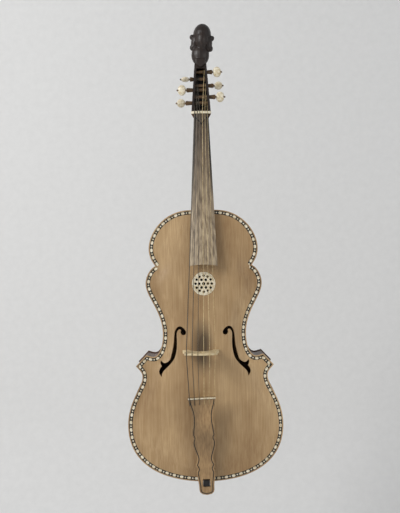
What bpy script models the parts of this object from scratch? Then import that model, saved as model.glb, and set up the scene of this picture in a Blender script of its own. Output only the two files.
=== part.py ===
"""Six-string bass viol with a notched outline, a flat back, six pegs and a tailpiece on a hook bar.

Metres, +Z up along the strings, the belly facing -Y and the bass side at -X. The origin is in the middle of
the flat back's outer face, level with the widest part of the lower bout. Inside this script every piece is
laid out from the body's bottom edge: "height" is the way up from it and "front" is the way out from the
back's outer face.
"""

import math

import bmesh
import bpy
from mathutils import Matrix, Vector
from mathutils.geometry import delaunay_2d_cdt, interpolate_bezier, intersect_point_line

MM = 0.001
GAP = 0.3 * MM
SNAP = 0.01 * MM

# Body. Its outline is drawn in millimetres for the drawn size, and UP and ACROSS fit it to the wanted one
BODY_LENGTH = 742 * MM
BODY_WIDTH = 424 * MM
DRAWN_SIZE = (424, 742)
ACROSS = BODY_WIDTH / DRAWN_SIZE[0]
UP = BODY_LENGTH / DRAWN_SIZE[1]
DRAWN_FOLD = 542
REST_HEIGHT = 157 * UP
OVERHANG = 3 * MM
RIB_THICKNESS = 2 * MM
RIB_DEPTH = 118.5 * MM
NECK_END_RIB_DEPTH = 72 * MM
BACK_THICKNESS = 4 * MM
BELLY_THICKNESS = 4.5 * MM
BELLY_ARCH = 17 * MM
BORDER = 14.6 * MM
MITRE_GAP = 0.25 * MM

# Knots of the right half outline: x, height, heading in degrees, handle before, handle after
LOWER_BOUT = ((0, 0, 0, 0, 114), (212, 154, 90, 109, 70), (171, 288, 90, 30, 12), (188.5, 317, 48, 16, 0))
WAIST = ((160, 347, 194, 0, 6), (140, 342, 180, 7, 15), (113.4, 403, 90, 32, 64),
         (158.7, DRAWN_FOLD, 90, 37, 20), (132, 590, 158, 15, 0))
UPPER_BOUT = ((132, 590, 62, 0, 10), (149, 637, 90, 26, 43), (34, 742, 180, 74, 0))
LOWER_STEPS = (12, 8, 4)
WAIST_STEPS = (3, 6, 8, 5)
UPPER_STEPS = (5, 11)

# Arch of the belly: where it is highest, how far it reaches up and down, and rows of height and half width
ARCH_CREST = 350
ARCH_REACH = 390
ARCH_WIDTHS = ((-20, 60), (150, 215), (400, 122), (560, 165), (762, 60))
ARCH_RISE = 30 * MM
BELLY_GRID = 40 * MM
GRID_COLUMNS = 6

# Right sound hole's outline: x and height as drawn
SOUND_HOLE = ((94.5, 337), (91.5, 347), (87.4, 364), (84.5, 381), (82.5, 403), (80, 415), (74, 423),
              (66, 425.5), (58, 421.5), (52, 415), (49.8, 409), (52, 403.5), (57.6, 401.5), (63, 404),
              (65.4, 409.5), (64, 415), (67.5, 417.5), (72, 414.5), (75, 408), (75.5, 399), (74.9, 381),
              (76, 364), (79, 349), (84, 336),
              (94.7, 322), (111, 306), (117, 296), (117.8, 288), (124, 296), (125.3, 304), (122, 312),
              (118, 317.5), (121.5, 325), (119.7, 333), (111, 325.5), (101, 329.5))

# Rose: its holes are rings of count, distance from the centre and radius, as shares of the radius inside the
# ring
ROSE_HEIGHT = 541 * UP
ROSE_RADIUS = 32 * MM
ROSE_RING_WIDTH = 3.5 * MM
ROSE_THICKNESS = 3.5 * MM
ROSE_EYE = 0.16
ROSE_HOLES = ((6, 0.42, 0.14), (12, 0.77, 0.13))
ROSE_SIDES = 24

# Blocks, bars and sound post inside the body
BLOCK_DEPTH = 32 * MM
TOP_BLOCK_HALF = 46 * MM
END_BLOCK_HALF = 36 * MM
CORNER_BLOCK_REACH = (3, 4)
NOTCH_BLOCK_REACH = (3, 2)
NOTCH_BLOCK_WIDTH = 20 * MM
BASS_BAR_X = -40 * MM
BASS_BAR_THICKNESS = 8 * MM
BASS_BAR_SPAN = (90 * UP, 640 * UP)
BASS_BAR_DEPTH = (5 * MM, 15 * MM)
BASS_BAR_STEPS = 36
POST_X = 33 * MM
POST_HEIGHT = 338 * UP
POST_RADIUS = 5.5 * MM
POST_PLATE_THICKNESS = 3 * MM
POST_PLATE_LENGTH = 96 * MM
POST_PLATE_ROOM = 10 * MM
BACK_BAR_DEPTH = 14 * MM
BACK_BAR_WIDTH = 20 * MM
BACK_BARS = {"upper_back_bar": 522 * UP, "lower_back_bar": 165 * UP}
BAR_END_ROOM = 5 * MM

# Strings, bass to treble: diameters, and where they cross the nut and the bridge
STRING_DIAMETERS = (2.2 * MM, 1.8 * MM, 1.4 * MM, 1.1 * MM, 0.9 * MM, 0.7 * MM)
WOUND_STRINGS = 3
NUT_SPACING = 7 * MM
NUT_CAMBER = 60 * MM
NUT_LENGTH = 6.5 * MM
NUT_SLOT_DEPTH = 1 * MM
BRIDGE_HEIGHT = 357 * UP
BRIDGE_SHIFT = -10.2 * MM
BRIDGE_SPACING = 15.4 * MM
BRIDGE_CAMBER = 75 * MM

# How far the string line stands in front of the belly's edge, at the nut and at the bridge
NUT_STRING_RISE = -14.6 * MM
BRIDGE_STRING_RISE = 97.4 * MM

# Fingerboard and neck. The heel's and the throat's rows are distance from the ribs or below the nut, and
# depth
NECK_LENGTH = 266 * MM
BOARD_END = 590 * UP
BOARD_END_RISE = 48.4 * MM
BOARD_MARGIN = 2.4 * MM
BOARD_END_HALF = 38.3 * MM
BOARD_UNDER_STRING = 1.8 * MM
BOARD_CAMBER = (60 * MM, 70 * MM)
BOARD_EDGE = 8 * MM
BOARD_END_HOLLOW = 4 * MM
BOARD_SECTIONS = 5
BOARD_FACETS = 8
NECK_SIDE = 4 * MM
NECK_NARROWER = 0.5 * MM
NECK_FACETS = 10
HEEL = ((0, 85), (5, 72), (11, 56), (19, 43), (31, 33), (51, 27))
NECK_MIDDLE_DEPTH = 23
THROAT = ((33, 21.5), (13, 25), (0, 34), (-7, 41))
SHOULDER_LENGTH = 11 * MM
SHOULDER_WIDTH = 7.6 * MM

# Pegbox: its fronts, backs and well are measured from the string line at the nut, in the side view
PEGBOX_LENGTH = 135.2 * MM
PEGBOX_FRONTS = (-6 * MM, -33 * MM)
PEGBOX_BACKS = (-55 * MM, -68 * MM)
PEGBOX_NARROWER = 1 * MM
PEGBOX_END_HALF = 16.5 * MM
CHEEK = 6 * MM
WELL_LEDGE = (4 * MM, -16 * MM)
WELL_RAMP = 14 * MM
WELL_FLOORS = (-47 * MM, -57 * MM)
WELL_END_WALL = 16 * MM
WELL_OPEN = 20 * MM

# Pegs, counted from the nut upwards, starting on the bass side
FIRST_PEG = 24.6 * MM
LAST_PEG = 22.4 * MM
PEG_ROOM = 1.6 * MM
PEG_SPREAD = (0.173, 0.282, 0.022, 0.241, 0.282)
PEG_LINE = (-25 * MM, -43 * MM)
PEG_STRINGS = (0, 5, 1, 4, 2, 3)
PEG_EXPOSED = (11 * MM, 10 * MM, 11 * MM, 8 * MM, 3.5 * MM, 7.5 * MM)
PEG_TURNS = (45, 10, 0, 50, 75, 0)
PEG_MID_RADIUS = 4.8 * MM
PEG_TAPER = 0.02
PEG_STICKS_OUT = 0.4 * MM
COLLAR = ((0, 4.6), (1, 5.2), (2, 6.6), (3.4, 6.6), (4.2, 5.4), (5, 6.6), (6.4, 6.6))
COLLAR_LENGTH = 7 * MM
PEG_SWELL = 0.6 * MM
HEAD_ROOM = 0.9 * MM
PEG_HEAD_LENGTH = 25 * MM
PEG_HEAD_THICKNESS = 9.5 * MM
TENON_RADIUS = 2.3 * MM
PIP_LENGTH = 2.5 * MM

# String turns on the pegs, and the half turn that each string ends in
CHEEK_ROOM = 1.2 * MM
TURNS = 2
LOOP_POINTS = 24
TURN_ROOM = 0.5 * MM
WRAP_DEGREES = 200
WRAP_STEPS = 10

# Carved head: lumps of centre x, centre front of the pegbox's middle, centre height above it, and three
# radii. All but the bust lean to the treble side
HEAD_LUMPS = ((0, 2, 26, 25.3, 22, 31), (0, 1, 42, 18, 16, 24), (0, 6, 68, 20, 24, 30),
              (0, -3, 82.5, 25.6, 29, 32.5), (21, -3, 60, 9.5, 18, 25), (-21, -3, 60, 9.5, 18, 25),
              (28.5, 0, 75, 6.5, 11, 7.5), (-28.5, 0, 75, 6.5, 11, 7.5), (25.5, 0, 46, 7.5, 12, 9),
              (-25.5, 0, 46, 7.5, 12, 9))
LARGE_LUMPS = 4
HEAD_LEAN = 4
LARGE_RINGS = (16, 10)
SMALL_RINGS = (10, 6)
TONGUE = ((-13, 14), (-14.5, 4), (-9, -5), (0, -11), (9, -5), (14.5, 4), (13, 14))
TONGUE_CLEAR = 2.6 * MM
TONGUE_THICKNESS = 6 * MM
HEAD_CUT = 50 * MM

# Tailpiece: half width and distance from its lower end, the string holes and saddle, and its mortise
TAIL_EDGE = ((0, 0), (12, 2.5), (18.5, 8), (20.4, 15), (20.7, 30), (22.6, 44), (24.5, 57), (24.9, 67),
             (21.8, 76), (26.5, 87), (23, 96), (21.2, 106), (24.5, 120), (29, 134), (31.4, 146), (31.4, 155),
             (28.6, 164.5), (31.3, 172), (31, 181), (28.6, 199), (27.2, 214), (27.2, 226), (29, 239),
             (34, 258), (37, 272), (37, 279))
TAIL_END_HEIGHT = -33.6 * MM
TAIL_END_RISE = 15.4 * MM
TAIL_TILT = 11.4
TAIL_SWING = 2.3
TAIL_THICKNESS = 8 * MM
TAIL_HOLES = 259 * MM
TAIL_SPACING = 13.1 * MM
HOLE_ROOM = 0.6 * MM
SADDLE = (275 * MM, 278.5 * MM)
SADDLE_HALF = 36.5 * MM
SADDLE_RISE = 2.5 * MM
MORTISE = (24 * MM, 46 * MM)
MORTISE_ROOM = 0.4 * MM

# Hook bar let into the foot of the ribs, which stands through the mortise
HOOK_HALF = 9 * MM
HOOK_TOP = 8 * MM
HOOK_RISE = 23.4 * MM

# Knot behind the tailpiece: distances in string diameters, and how thick it is there
KNOT = ((4, 0.5), (2.6, 1.9), (1.2, 1.9))

# Bridge: right half outline and arch, as distance from the middle and share of the way from belly to crest
BRIDGE_SIDE = ((49.5, 0), (49.5, 0.11), (44, 0.2), (39, 0.33), (38, 0.5), (41, 0.66), (44.5, 0.82))
BRIDGE_ARCH = ((34, 0), (33, 0.1), (27, 0.26), (15, 0.375), (0, 0.41))
BRIDGE_HEART = ((0, 0.52), (7, 0.61), (8.5, 0.69), (4.5, 0.74), (0, 0.69), (-4.5, 0.74), (-8.5, 0.69),
                (-7, 0.61))
BRIDGE_CREST_HALF = 43.5 * MM
BRIDGE_FOOT_THICKNESS = 10 * MM
BRIDGE_TOP_THICKNESS = 5 * MM
CREST_POINTS = 12
NOTCH_FLOOR = 0.7

# Orientation of a flat outline's x, y and thickness
FRONT_VIEW = Matrix(((1, 0, 0), (0, 0, -1), (0, 1, 0)))
SIDE_VIEW = Matrix(((0, 0, 1), (0, -1, 0), (1, 0, 0)))
END_VIEW = Matrix(((1, 0, 0), (0, -1, 0), (0, 0, -1)))

# What follows from the sizes above
RIB_BACK = BACK_THICKNESS + GAP
RIB_FRONT = RIB_BACK + RIB_DEPTH
EDGE_FRONT = RIB_FRONT + GAP + BELLY_THICKNESS
BACK_FOLD = DRAWN_FOLD * UP
CANT = (RIB_DEPTH - NECK_END_RIB_DEPTH) / (BODY_LENGTH - BACK_FOLD)
NUT_HEIGHT = BODY_LENGTH + NECK_LENGTH
NUT_STRING_FRONT = EDGE_FRONT + NUT_STRING_RISE
BRIDGE_STRING_FRONT = EDGE_FRONT + BRIDGE_STRING_RISE
BOARD_START = NUT_HEIGHT - GAP
BOARD_NUT_HALF = 2.5 * NUT_SPACING + BOARD_MARGIN
NUT_HALF = BOARD_NUT_HALF + SHOULDER_WIDTH
NECK_BUTT = BODY_LENGTH - OVERHANG + GAP
NECK_TOP = NUT_HEIGHT + NUT_LENGTH
PEGBOX_START = NECK_TOP + GAP
PEGBOX_END = PEGBOX_START + PEGBOX_LENGTH
PEGBOX_HALVES = (NUT_HALF - PEGBOX_NARROWER, PEGBOX_END_HALF)
PEG_SPAN = PEGBOX_LENGTH - FIRST_PEG - LAST_PEG
LEAST_PITCH = 2 * PEG_MID_RADIUS + PEG_ROOM
SPARE_PITCH = PEG_SPAN - len(PEG_SPREAD) * LEAST_PITCH
PEG_PITCHES = [LEAST_PITCH + SPARE_PITCH * share for share in PEG_SPREAD]
PEG_HEAD_WIDTH = min(one + two for one, two in zip(PEG_PITCHES, PEG_PITCHES[1:])) - HEAD_ROOM
MORTISE_HALF = HOOK_HALF + MORTISE_ROOM

for old in list(bpy.data.objects):
    bpy.data.objects.remove(old, do_unlink=True)
viol = bpy.data.collections.new("bass_viol")
cutters = bpy.data.collections.new("cutters")
bpy.context.scene.collection.children.link(viol)
bpy.context.scene.collection.children.link(cutters)


def finish(name, colour, roughness, metallic=0.0):
    """Returns a plain Principled material."""
    material = bpy.data.materials.new(name)
    material.use_nodes = True
    shader = material.node_tree.nodes["Principled BSDF"]
    shader.inputs["Base Color"].default_value = (*colour, 1)
    shader.inputs["Roughness"].default_value = roughness
    shader.inputs["Metallic"].default_value = metallic
    return material


SPRUCE = finish("aged_spruce", (0.33, 0.20, 0.09), 0.45)
MAPLE = finish("varnished_maple", (0.22, 0.10, 0.04), 0.35)
WALNUT = finish("dark_walnut", (0.06, 0.03, 0.018), 0.4)
EBONY = finish("ebony", (0.012, 0.010, 0.009), 0.3)
IVORY = finish("old_bone", (0.78, 0.70, 0.55), 0.35)
PINE = finish("inside_pine", (0.50, 0.36, 0.20), 0.7)
FRUITWOOD = finish("varnished_fruitwood", (0.30, 0.19, 0.10), 0.4)
BOXWOOD = finish("boxwood", (0.55, 0.38, 0.18), 0.4)
GUT = finish("gut", (0.55, 0.42, 0.24), 0.5)
WOUND = finish("wire_wound_gut", (0.20, 0.19, 0.17), 0.4, 0.6)


def empty(name, location=(0, 0, 0), rotation=(0, 0, 0), parent=None):
    """An axis or a frame that other objects are placed on."""
    holder = bpy.data.objects.new(name, None)
    holder.location = location
    holder.rotation_euler = rotation
    holder.parent = parent
    viol.objects.link(holder)
    return holder


BODY = empty("body_bottom", (0, 0, -REST_HEIGHT))


def add(name, data, material, parent=None, location=(0, 0, 0), rotation=(0, 0, 0)):
    """Places an object of the part."""
    made = bpy.data.objects.new(name, data)
    made.location = location
    made.rotation_euler = rotation
    made.parent = parent or BODY
    viol.objects.link(made)
    data.materials.append(material)
    return made


def hide(helper):
    """Turns an object into a cutter, which isn't part of the viol."""
    viol.objects.unlink(helper)
    cutters.objects.link(helper)
    helper.hide_render = True
    helper.display_type = "WIRE"
    return helper


def boolean(target, helper, operation="DIFFERENCE"):
    """Cuts the target with a helper object, or joins them."""
    modifier = target.modifiers.new(helper.name, "BOOLEAN")
    modifier.operation = operation
    modifier.object = hide(helper)


def fill_curve(loops, thickness):
    """A closed mesh of flat loops with holes, with its thickness centred on the XY plane."""
    curve = bpy.data.curves.new("outline", "CURVE")
    curve.dimensions = "2D"
    curve.fill_mode = "BOTH"
    curve.extrude = thickness / 2
    for loop in loops:
        spline = curve.splines.new("POLY")
        spline.points.add(len(loop) - 1)
        for point, (x, y) in zip(spline.points, loop):
            point.co = (x, y, 0, 1)
        spline.use_cyclic_u = True
    holder = bpy.data.objects.new("outline", curve)
    viol.objects.link(holder)
    bpy.context.view_layer.update()
    mesh = bpy.data.meshes.new_from_object(holder.evaluated_get(bpy.context.evaluated_depsgraph_get()))
    bpy.data.objects.remove(holder)
    shape = bmesh.new()
    shape.from_mesh(mesh)
    bmesh.ops.remove_doubles(shape, verts=shape.verts, dist=0.02 * MM)
    bmesh.ops.recalc_face_normals(shape, faces=shape.faces)
    shape.to_mesh(mesh)
    shape.free()
    return mesh


def flat(name, loops, low, high, material, view=FRONT_VIEW, parent=None):
    """A flat piece: loops in a view, and the two distances that it lies between along that view."""
    mesh = fill_curve(loops, high - low)
    along = Vector(view.col[2]) * (low + high) / 2
    return add(name, mesh, material, parent, along, view.to_euler())


def box(name, low, high, material, parent=None):
    """A plain block between two corners, each given as x, front, height."""
    shape = bmesh.new()
    bmesh.ops.create_cube(shape, size=1)
    sizes = [high[i] - low[i] for i in range(3)]
    bmesh.ops.scale(shape, vec=(sizes[0], sizes[1], sizes[2]), verts=shape.verts)
    mesh = bpy.data.meshes.new(name)
    shape.to_mesh(mesh)
    shape.free()
    middle = ((low[0] + high[0]) / 2, -(low[1] + high[1]) / 2, (low[2] + high[2]) / 2)
    return add(name, mesh, material, parent, middle)


def ball(name, radii, material, parent=None, location=(0, 0, 0), rings=(12, 8)):
    """An ellipsoid."""
    shape = bmesh.new()
    bmesh.ops.create_uvsphere(shape, u_segments=rings[0], v_segments=rings[1], radius=1)
    bmesh.ops.scale(shape, vec=radii, verts=shape.verts)
    mesh = bpy.data.meshes.new(name)
    shape.to_mesh(mesh)
    shape.free()
    mesh.shade_smooth()
    return add(name, mesh, material, parent, location)


def loft(name, sections, material, parent=None):
    """A closed skin over rings of points that have the same count, with both ends filled."""
    shape = bmesh.new()
    rings = [[shape.verts.new(point) for point in section] for section in sections]
    count = len(rings[0])
    for one, two in zip(rings, rings[1:]):
        for i in range(count):
            j = (i + 1) % count
            shape.faces.new((one[i], one[j], two[j], two[i]))
    shape.faces.new(rings[0])
    shape.faces.new(rings[-1])
    bmesh.ops.triangulate(shape, faces=shape.faces)
    bmesh.ops.recalc_face_normals(shape, faces=shape.faces)
    mesh = bpy.data.meshes.new(name)
    shape.to_mesh(mesh)
    shape.free()
    mesh.shade_smooth()
    mesh.set_sharp_from_angle(angle=math.radians(35))
    return add(name, mesh, material, parent)


def turned(name, profile, material, parent, rotation, steps=12):
    """A turned piece. The profile gives distance along the axis and radius, from the far end down."""
    mesh = bpy.data.meshes.new(name)
    points = [(radius, 0, along) for along, radius in profile]
    mesh.from_pydata(points, [(i, i + 1) for i in range(len(points) - 1)], [])
    made = add(name, mesh, material, parent, rotation=rotation)
    screw = made.modifiers.new("turn", "SCREW")
    screw.steps = steps
    screw.render_steps = steps
    screw.use_merge_vertices = True
    screw.merge_threshold = SNAP
    return made


def tube(name, points, diameter, material, parent=None, resolution=2, radii=None):
    """A round cord through its points."""
    curve = bpy.data.curves.new(name, "CURVE")
    curve.dimensions = "3D"
    curve.bevel_depth = diameter / 2
    curve.bevel_resolution = resolution
    curve.use_fill_caps = True
    spline = curve.splines.new("POLY")
    spline.points.add(len(points) - 1)
    for i, (point, place) in enumerate(zip(spline.points, points)):
        point.co = (*place, 1)
        point.radius = radii[i] if radii else 1
    return add(name, curve, material, parent)


def between(value, low, high):
    """How far value is from low to high, kept to 0 and 1."""
    return min(1, max(0, (value - low) / (high - low)))


def mix(ends, share):
    """The value that share of the way between two ends has."""
    return ends[0] + (ends[1] - ends[0]) * share


def eased(share):
    """Smooth start and stop."""
    return share * share * (3 - 2 * share)


def sag(camber, across):
    """How far a round line of radius camber has fallen at a distance from its crest."""
    return camber - math.sqrt(camber * camber - across * across)


def stretch(knots, steps):
    """Points of a smooth stretch of outline, in metres."""
    points = []
    for (x0, z0, a0, _, after), (x1, z1, a1, before, _), count in zip(knots, knots[1:], steps):
        start = Vector((x0, z0))
        end = Vector((x1, z1))
        leave = start + after * Vector((math.cos(math.radians(a0)), math.sin(math.radians(a0))))
        arrive = end - before * Vector((math.cos(math.radians(a1)), math.sin(math.radians(a1))))
        run = interpolate_bezier(start, leave, arrive, end, count + 1)
        points += run if not points else run[1:]
    return [on_body(p) for p in points]


def on_body(point):
    """A drawn point of the body at its wanted size."""
    return Vector((point[0] * ACROSS, point[1] * UP))


LOWER = stretch(LOWER_BOUT, LOWER_STEPS)
MIDDLE = stretch(WAIST, WAIST_STEPS)
UPPER = stretch(UPPER_BOUT, UPPER_STEPS)
TOP_CENTRE = Vector((0, BODY_LENGTH))
RIGHT = LOWER + MIDDLE + UPPER[1:] + [TOP_CENTRE]
OUTLINE = RIGHT + [Vector((-p.x, p.y)) for p in reversed(RIGHT[1:-1])]
CORNER = len(LOWER) - 1
NOTCH = len(LOWER) + len(MIDDLE) - 1
TOP = len(RIGHT) - 1


def inset(distance):
    """The outline's points, each moved inwards by a distance along its own mitre."""
    moved = []
    for i, point in enumerate(OUTLINE):
        before = (point - OUTLINE[i - 1]).normalized()
        after = (OUTLINE[(i + 1) % len(OUTLINE)] - point).normalized()
        mitre = (Vector((-before.y, before.x)) + Vector((-after.y, after.x))).normalized()
        moved.append(point + mitre * distance / mitre.dot(Vector((-after.y, after.x))))
    return moved


def edge_distance(point, loop=OUTLINE):
    """Distance from a point to a closed line."""
    nearest = 1.0
    for i, start in enumerate(loop):
        place, share = intersect_point_line(point, loop[i - 1], start)
        place = loop[i - 1].lerp(start, min(1, max(0, share)))
        nearest = min(nearest, (point - place.to_2d()).length)
    return nearest


def inside(point, loop):
    """Whether a point is inside a closed line."""
    hit = False
    for i, one in enumerate(loop):
        two = loop[i - 1]
        if (one.y > point.y) != (two.y > point.y):
            if point.x < one.x + (two.x - one.x) * (point.y - one.y) / (two.y - one.y):
                hit = not hit
    return hit


def arch(x, height):
    """How far the belly rises in front of its edge."""
    rows = [(h * UP, w * ACROSS) for h, w in ARCH_WIDTHS]
    width = rows[0][1]
    for (low, one), (high, two) in zip(rows, rows[1:]):
        if low <= height <= high:
            width = mix((one, two), eased(between(height, low, high)))
    across = max(0, 1 - (x / width) ** 2)
    along = max(0, 1 - ((height / UP - ARCH_CREST) / ARCH_REACH) ** 2)
    rim = eased(between(edge_distance(Vector((x, height))), BORDER, BORDER + ARCH_RISE))
    return BELLY_ARCH * across * along * rim


def belly_front(x, height):
    return EDGE_FRONT + arch(x, height)


def back_inner(height):
    """Front of the back plate's inner face: flat, then canted towards the neck."""
    return BACK_THICKNESS + CANT * max(0, height - BACK_FOLD)


def half_width(height, distance):
    """Half width of the outline, moved in by a distance, on one of its smooth stretches."""
    line = inset(distance)
    for one, two in zip(line[:TOP], line[1:]):
        if (one.y - height) * (two.y - height) <= 0 and one.y != two.y:
            return one.x + (two.x - one.x) * (height - one.y) / (two.y - one.y)
    return 0


def follow_back(piece, middle):
    """Moves a flat piece's back edge onto the canted part of the back plate."""
    for vertex in piece.data.vertices:
        if vertex.co.z < 0:
            vertex.co.z = max(vertex.co.z, back_inner(vertex.co.y) + GAP - middle)


def mirrored(points, side):
    return [Vector((p.x * side, p.y)) for p in points]


def beyond(line, x):
    """Points of a right half line from the foot to the top that lie past x, with its crossings of x."""
    kept = []
    for one, two in zip(line, line[1:]):
        if one.x > x:
            kept.append(one)
        if (one.x > x) != (two.x > x):
            kept.append(one.lerp(two, (x - one.x) / (two.x - one.x)))
    return kept


def make_belly():
    """Carved, arched front plate, with the sound holes, the rose's hole and seats for neck and hook bar."""
    neck_seat = board_half(NECK_BUTT) + 2 * GAP
    hook_seat = HOOK_HALF + GAP
    widest = max(range(TOP), key=lambda i: RIGHT[i].x)
    low = beyond(RIGHT[:widest + 1], hook_seat)
    high = beyond(RIGHT[widest:], neck_seat)
    right = [Vector((hook_seat, HOOK_TOP + GAP)), *low, *high, Vector((neck_seat, BODY_LENGTH - OVERHANG))]
    rim = right + mirrored(reversed(right), -1)
    border = [p for p in inset(BORDER) if edge_distance(p) > BORDER - GAP]
    holes = [mirrored([on_body(p) for p in SOUND_HOLE], side) for side in (1, -1)]
    rose_hole = circle(ROSE_RADIUS + GAP, ROSE_SIDES, (0, ROSE_HEIGHT))
    loops = [rim, border, *holes, rose_hole]
    points = []
    edges = []
    for loop in loops:
        first = len(points)
        points += loop
        edges += [(first + i, first + (i + 1) % len(loop)) for i in range(len(loop))]
    rows = int(BODY_LENGTH / BELLY_GRID) + 1
    for row in range(rows):
        for column in range(-GRID_COLUMNS, GRID_COLUMNS + 1):
            spot = Vector(((column + row % 2 / 2) * BELLY_GRID, row * BELLY_GRID))
            clear = all(edge_distance(spot, loop) > BELLY_GRID / 3 for loop in loops[1:])
            open_wood = not any(inside(spot, hole) for hole in (*holes, rose_hole))
            if inside(spot, border) and clear and open_wood:
                points.append(spot)
    made = delaunay_2d_cdt(points, edges, [], 1, 0.001 * MM)
    places = made[0]
    faces = []
    for face in made[2]:
        middle = sum((places[i] for i in face), Vector((0, 0))) / len(face)
        if inside(middle, rim) and not any(inside(middle, hole) for hole in (*holes, rose_hole)):
            faces.append(face)
    mesh = bpy.data.meshes.new("belly")
    mesh.from_pydata([(p.x, p.y, arch(p.x, p.y)) for p in places], [], faces)
    shape = bmesh.new()
    shape.from_mesh(mesh)
    loose = [v for v in shape.verts if not v.link_faces]
    bmesh.ops.delete(shape, geom=loose, context="VERTS")
    bmesh.ops.recalc_face_normals(shape, faces=shape.faces)
    if sum(face.normal.z for face in shape.faces) < 0:
        bmesh.ops.reverse_faces(shape, faces=shape.faces)
    shape.to_mesh(mesh)
    shape.free()
    belly = add("soundboard", mesh, SPRUCE, location=(0, -EDGE_FRONT, 0), rotation=FRONT_VIEW.to_euler())
    shell = belly.modifiers.new("thickness", "SOLIDIFY")
    shell.thickness = BELLY_THICKNESS
    shell.offset = -1


def circle(radius, count, centre=(0, 0)):
    turns = [2 * math.pi * i / count for i in range(count)]
    return [Vector((centre[0] + radius * math.cos(a), centre[1] + radius * math.sin(a))) for a in turns]


def make_back():
    """Flat back plate, bent forwards above the fold."""
    back = flat("back_plate", [OUTLINE], 0, BACK_THICKNESS, MAPLE)
    shape = bmesh.new()
    shape.from_mesh(back.data)
    everything = shape.verts[:] + shape.edges[:] + shape.faces[:]
    bmesh.ops.bisect_plane(shape, geom=everything, dist=SNAP, plane_co=(0, BACK_FOLD, 0), plane_no=(0, 1, 0))
    for vertex in shape.verts:
        vertex.co.z += CANT * max(0, vertex.co.y - BACK_FOLD)
    shape.to_mesh(back.data)
    shape.free()


def make_ribs():
    """Bent side ribs, mitred at the corners and notches, and parted at the foot for the hook bar."""
    outer = inset(OVERHANG)
    inner = inset(OVERHANG + RIB_THICKNESS)
    spans = {"lower_rib": (0, CORNER), "corner_rib": (CORNER, CORNER + 1),
             "waist_rib": (CORNER + 1, NOTCH), "upper_rib": (NOTCH, TOP)}
    for name, (start, end) in spans.items():
        lines = [outer[start:end + 1], inner[start:end + 1]]
        for line in lines:
            one = (line[1] - line[0]).normalized()
            two = (line[-2] - line[-1]).normalized()
            line[0] = line[0] + one * (HOOK_HALF + GAP if start == 0 else MITRE_GAP)
            line[-1] = line[-1] + two * MITRE_GAP
        for side, word in ((-1, "left"), (1, "right")):
            loop = mirrored(lines[0] + lines[1][::-1], side)
            rib = flat(f"{word}_{name}", [loop], RIB_BACK, RIB_FRONT, MAPLE)
            follow_back(rib, (RIB_BACK + RIB_FRONT) / 2)


def make_block(name, loop):
    """A glued block inside the ribs, from the back plate to the belly."""
    block = flat(name, [loop], RIB_BACK, RIB_FRONT, PINE)
    follow_back(block, (RIB_BACK + RIB_FRONT) / 2)


def make_blocks():
    """Blocks at the neck, the foot, the corners and the notches."""
    distance = OVERHANG + RIB_THICKNESS + GAP
    line = inset(distance)
    top = [p for p in line if abs(p.x) < TOP_BLOCK_HALF and p.y > BODY_LENGTH / 2]
    depth = BODY_LENGTH - distance - BLOCK_DEPTH
    make_block("top_block", top + [Vector((top[-1].x, depth)), Vector((top[0].x, depth))])
    foot = [p for p in line[1:TOP] if p.x < END_BLOCK_HALF and p.y < REST_HEIGHT]
    edge = HOOK_HALF + GAP
    slot = [Vector((edge, HOOK_TOP + GAP)), line[0].lerp(line[1], edge / line[1].x)]
    side = slot + foot + [Vector((foot[-1].x, distance + BLOCK_DEPTH))]
    make_block("end_block", side + mirrored(reversed(side), -1))
    corner = line[CORNER - CORNER_BLOCK_REACH[0]:CORNER + 1 + CORNER_BLOCK_REACH[1]]
    notch = line[NOTCH - NOTCH_BLOCK_REACH[0]:NOTCH + 1 + NOTCH_BLOCK_REACH[1]]
    for side, word in ((-1, "left"), (1, "right")):
        make_block(f"{word}_corner_block", mirrored(corner, side))
        inner = [Vector((p.x - NOTCH_BLOCK_WIDTH, p.y)) for p in (notch[-1], notch[0])]
        make_block(f"{word}_notch_block", mirrored(notch + inner, side))


def under_belly(x, half, height, reach=0):
    """Least front of the belly's inner face over a piece that reaches half to either side of x."""
    belly = bpy.data.objects["soundboard"]
    bpy.context.view_layer.update()
    cast = belly.evaluated_get(bpy.context.evaluated_depsgraph_get()).ray_cast
    spots = [(x + side * half, height + way * reach) for side in (-1, 1) for way in (-1, 0, 1)]
    hits = [cast((*spot, -EDGE_FRONT), (0, 0, 1))[1].z for spot in spots]
    return EDGE_FRONT + min(hits)


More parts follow.
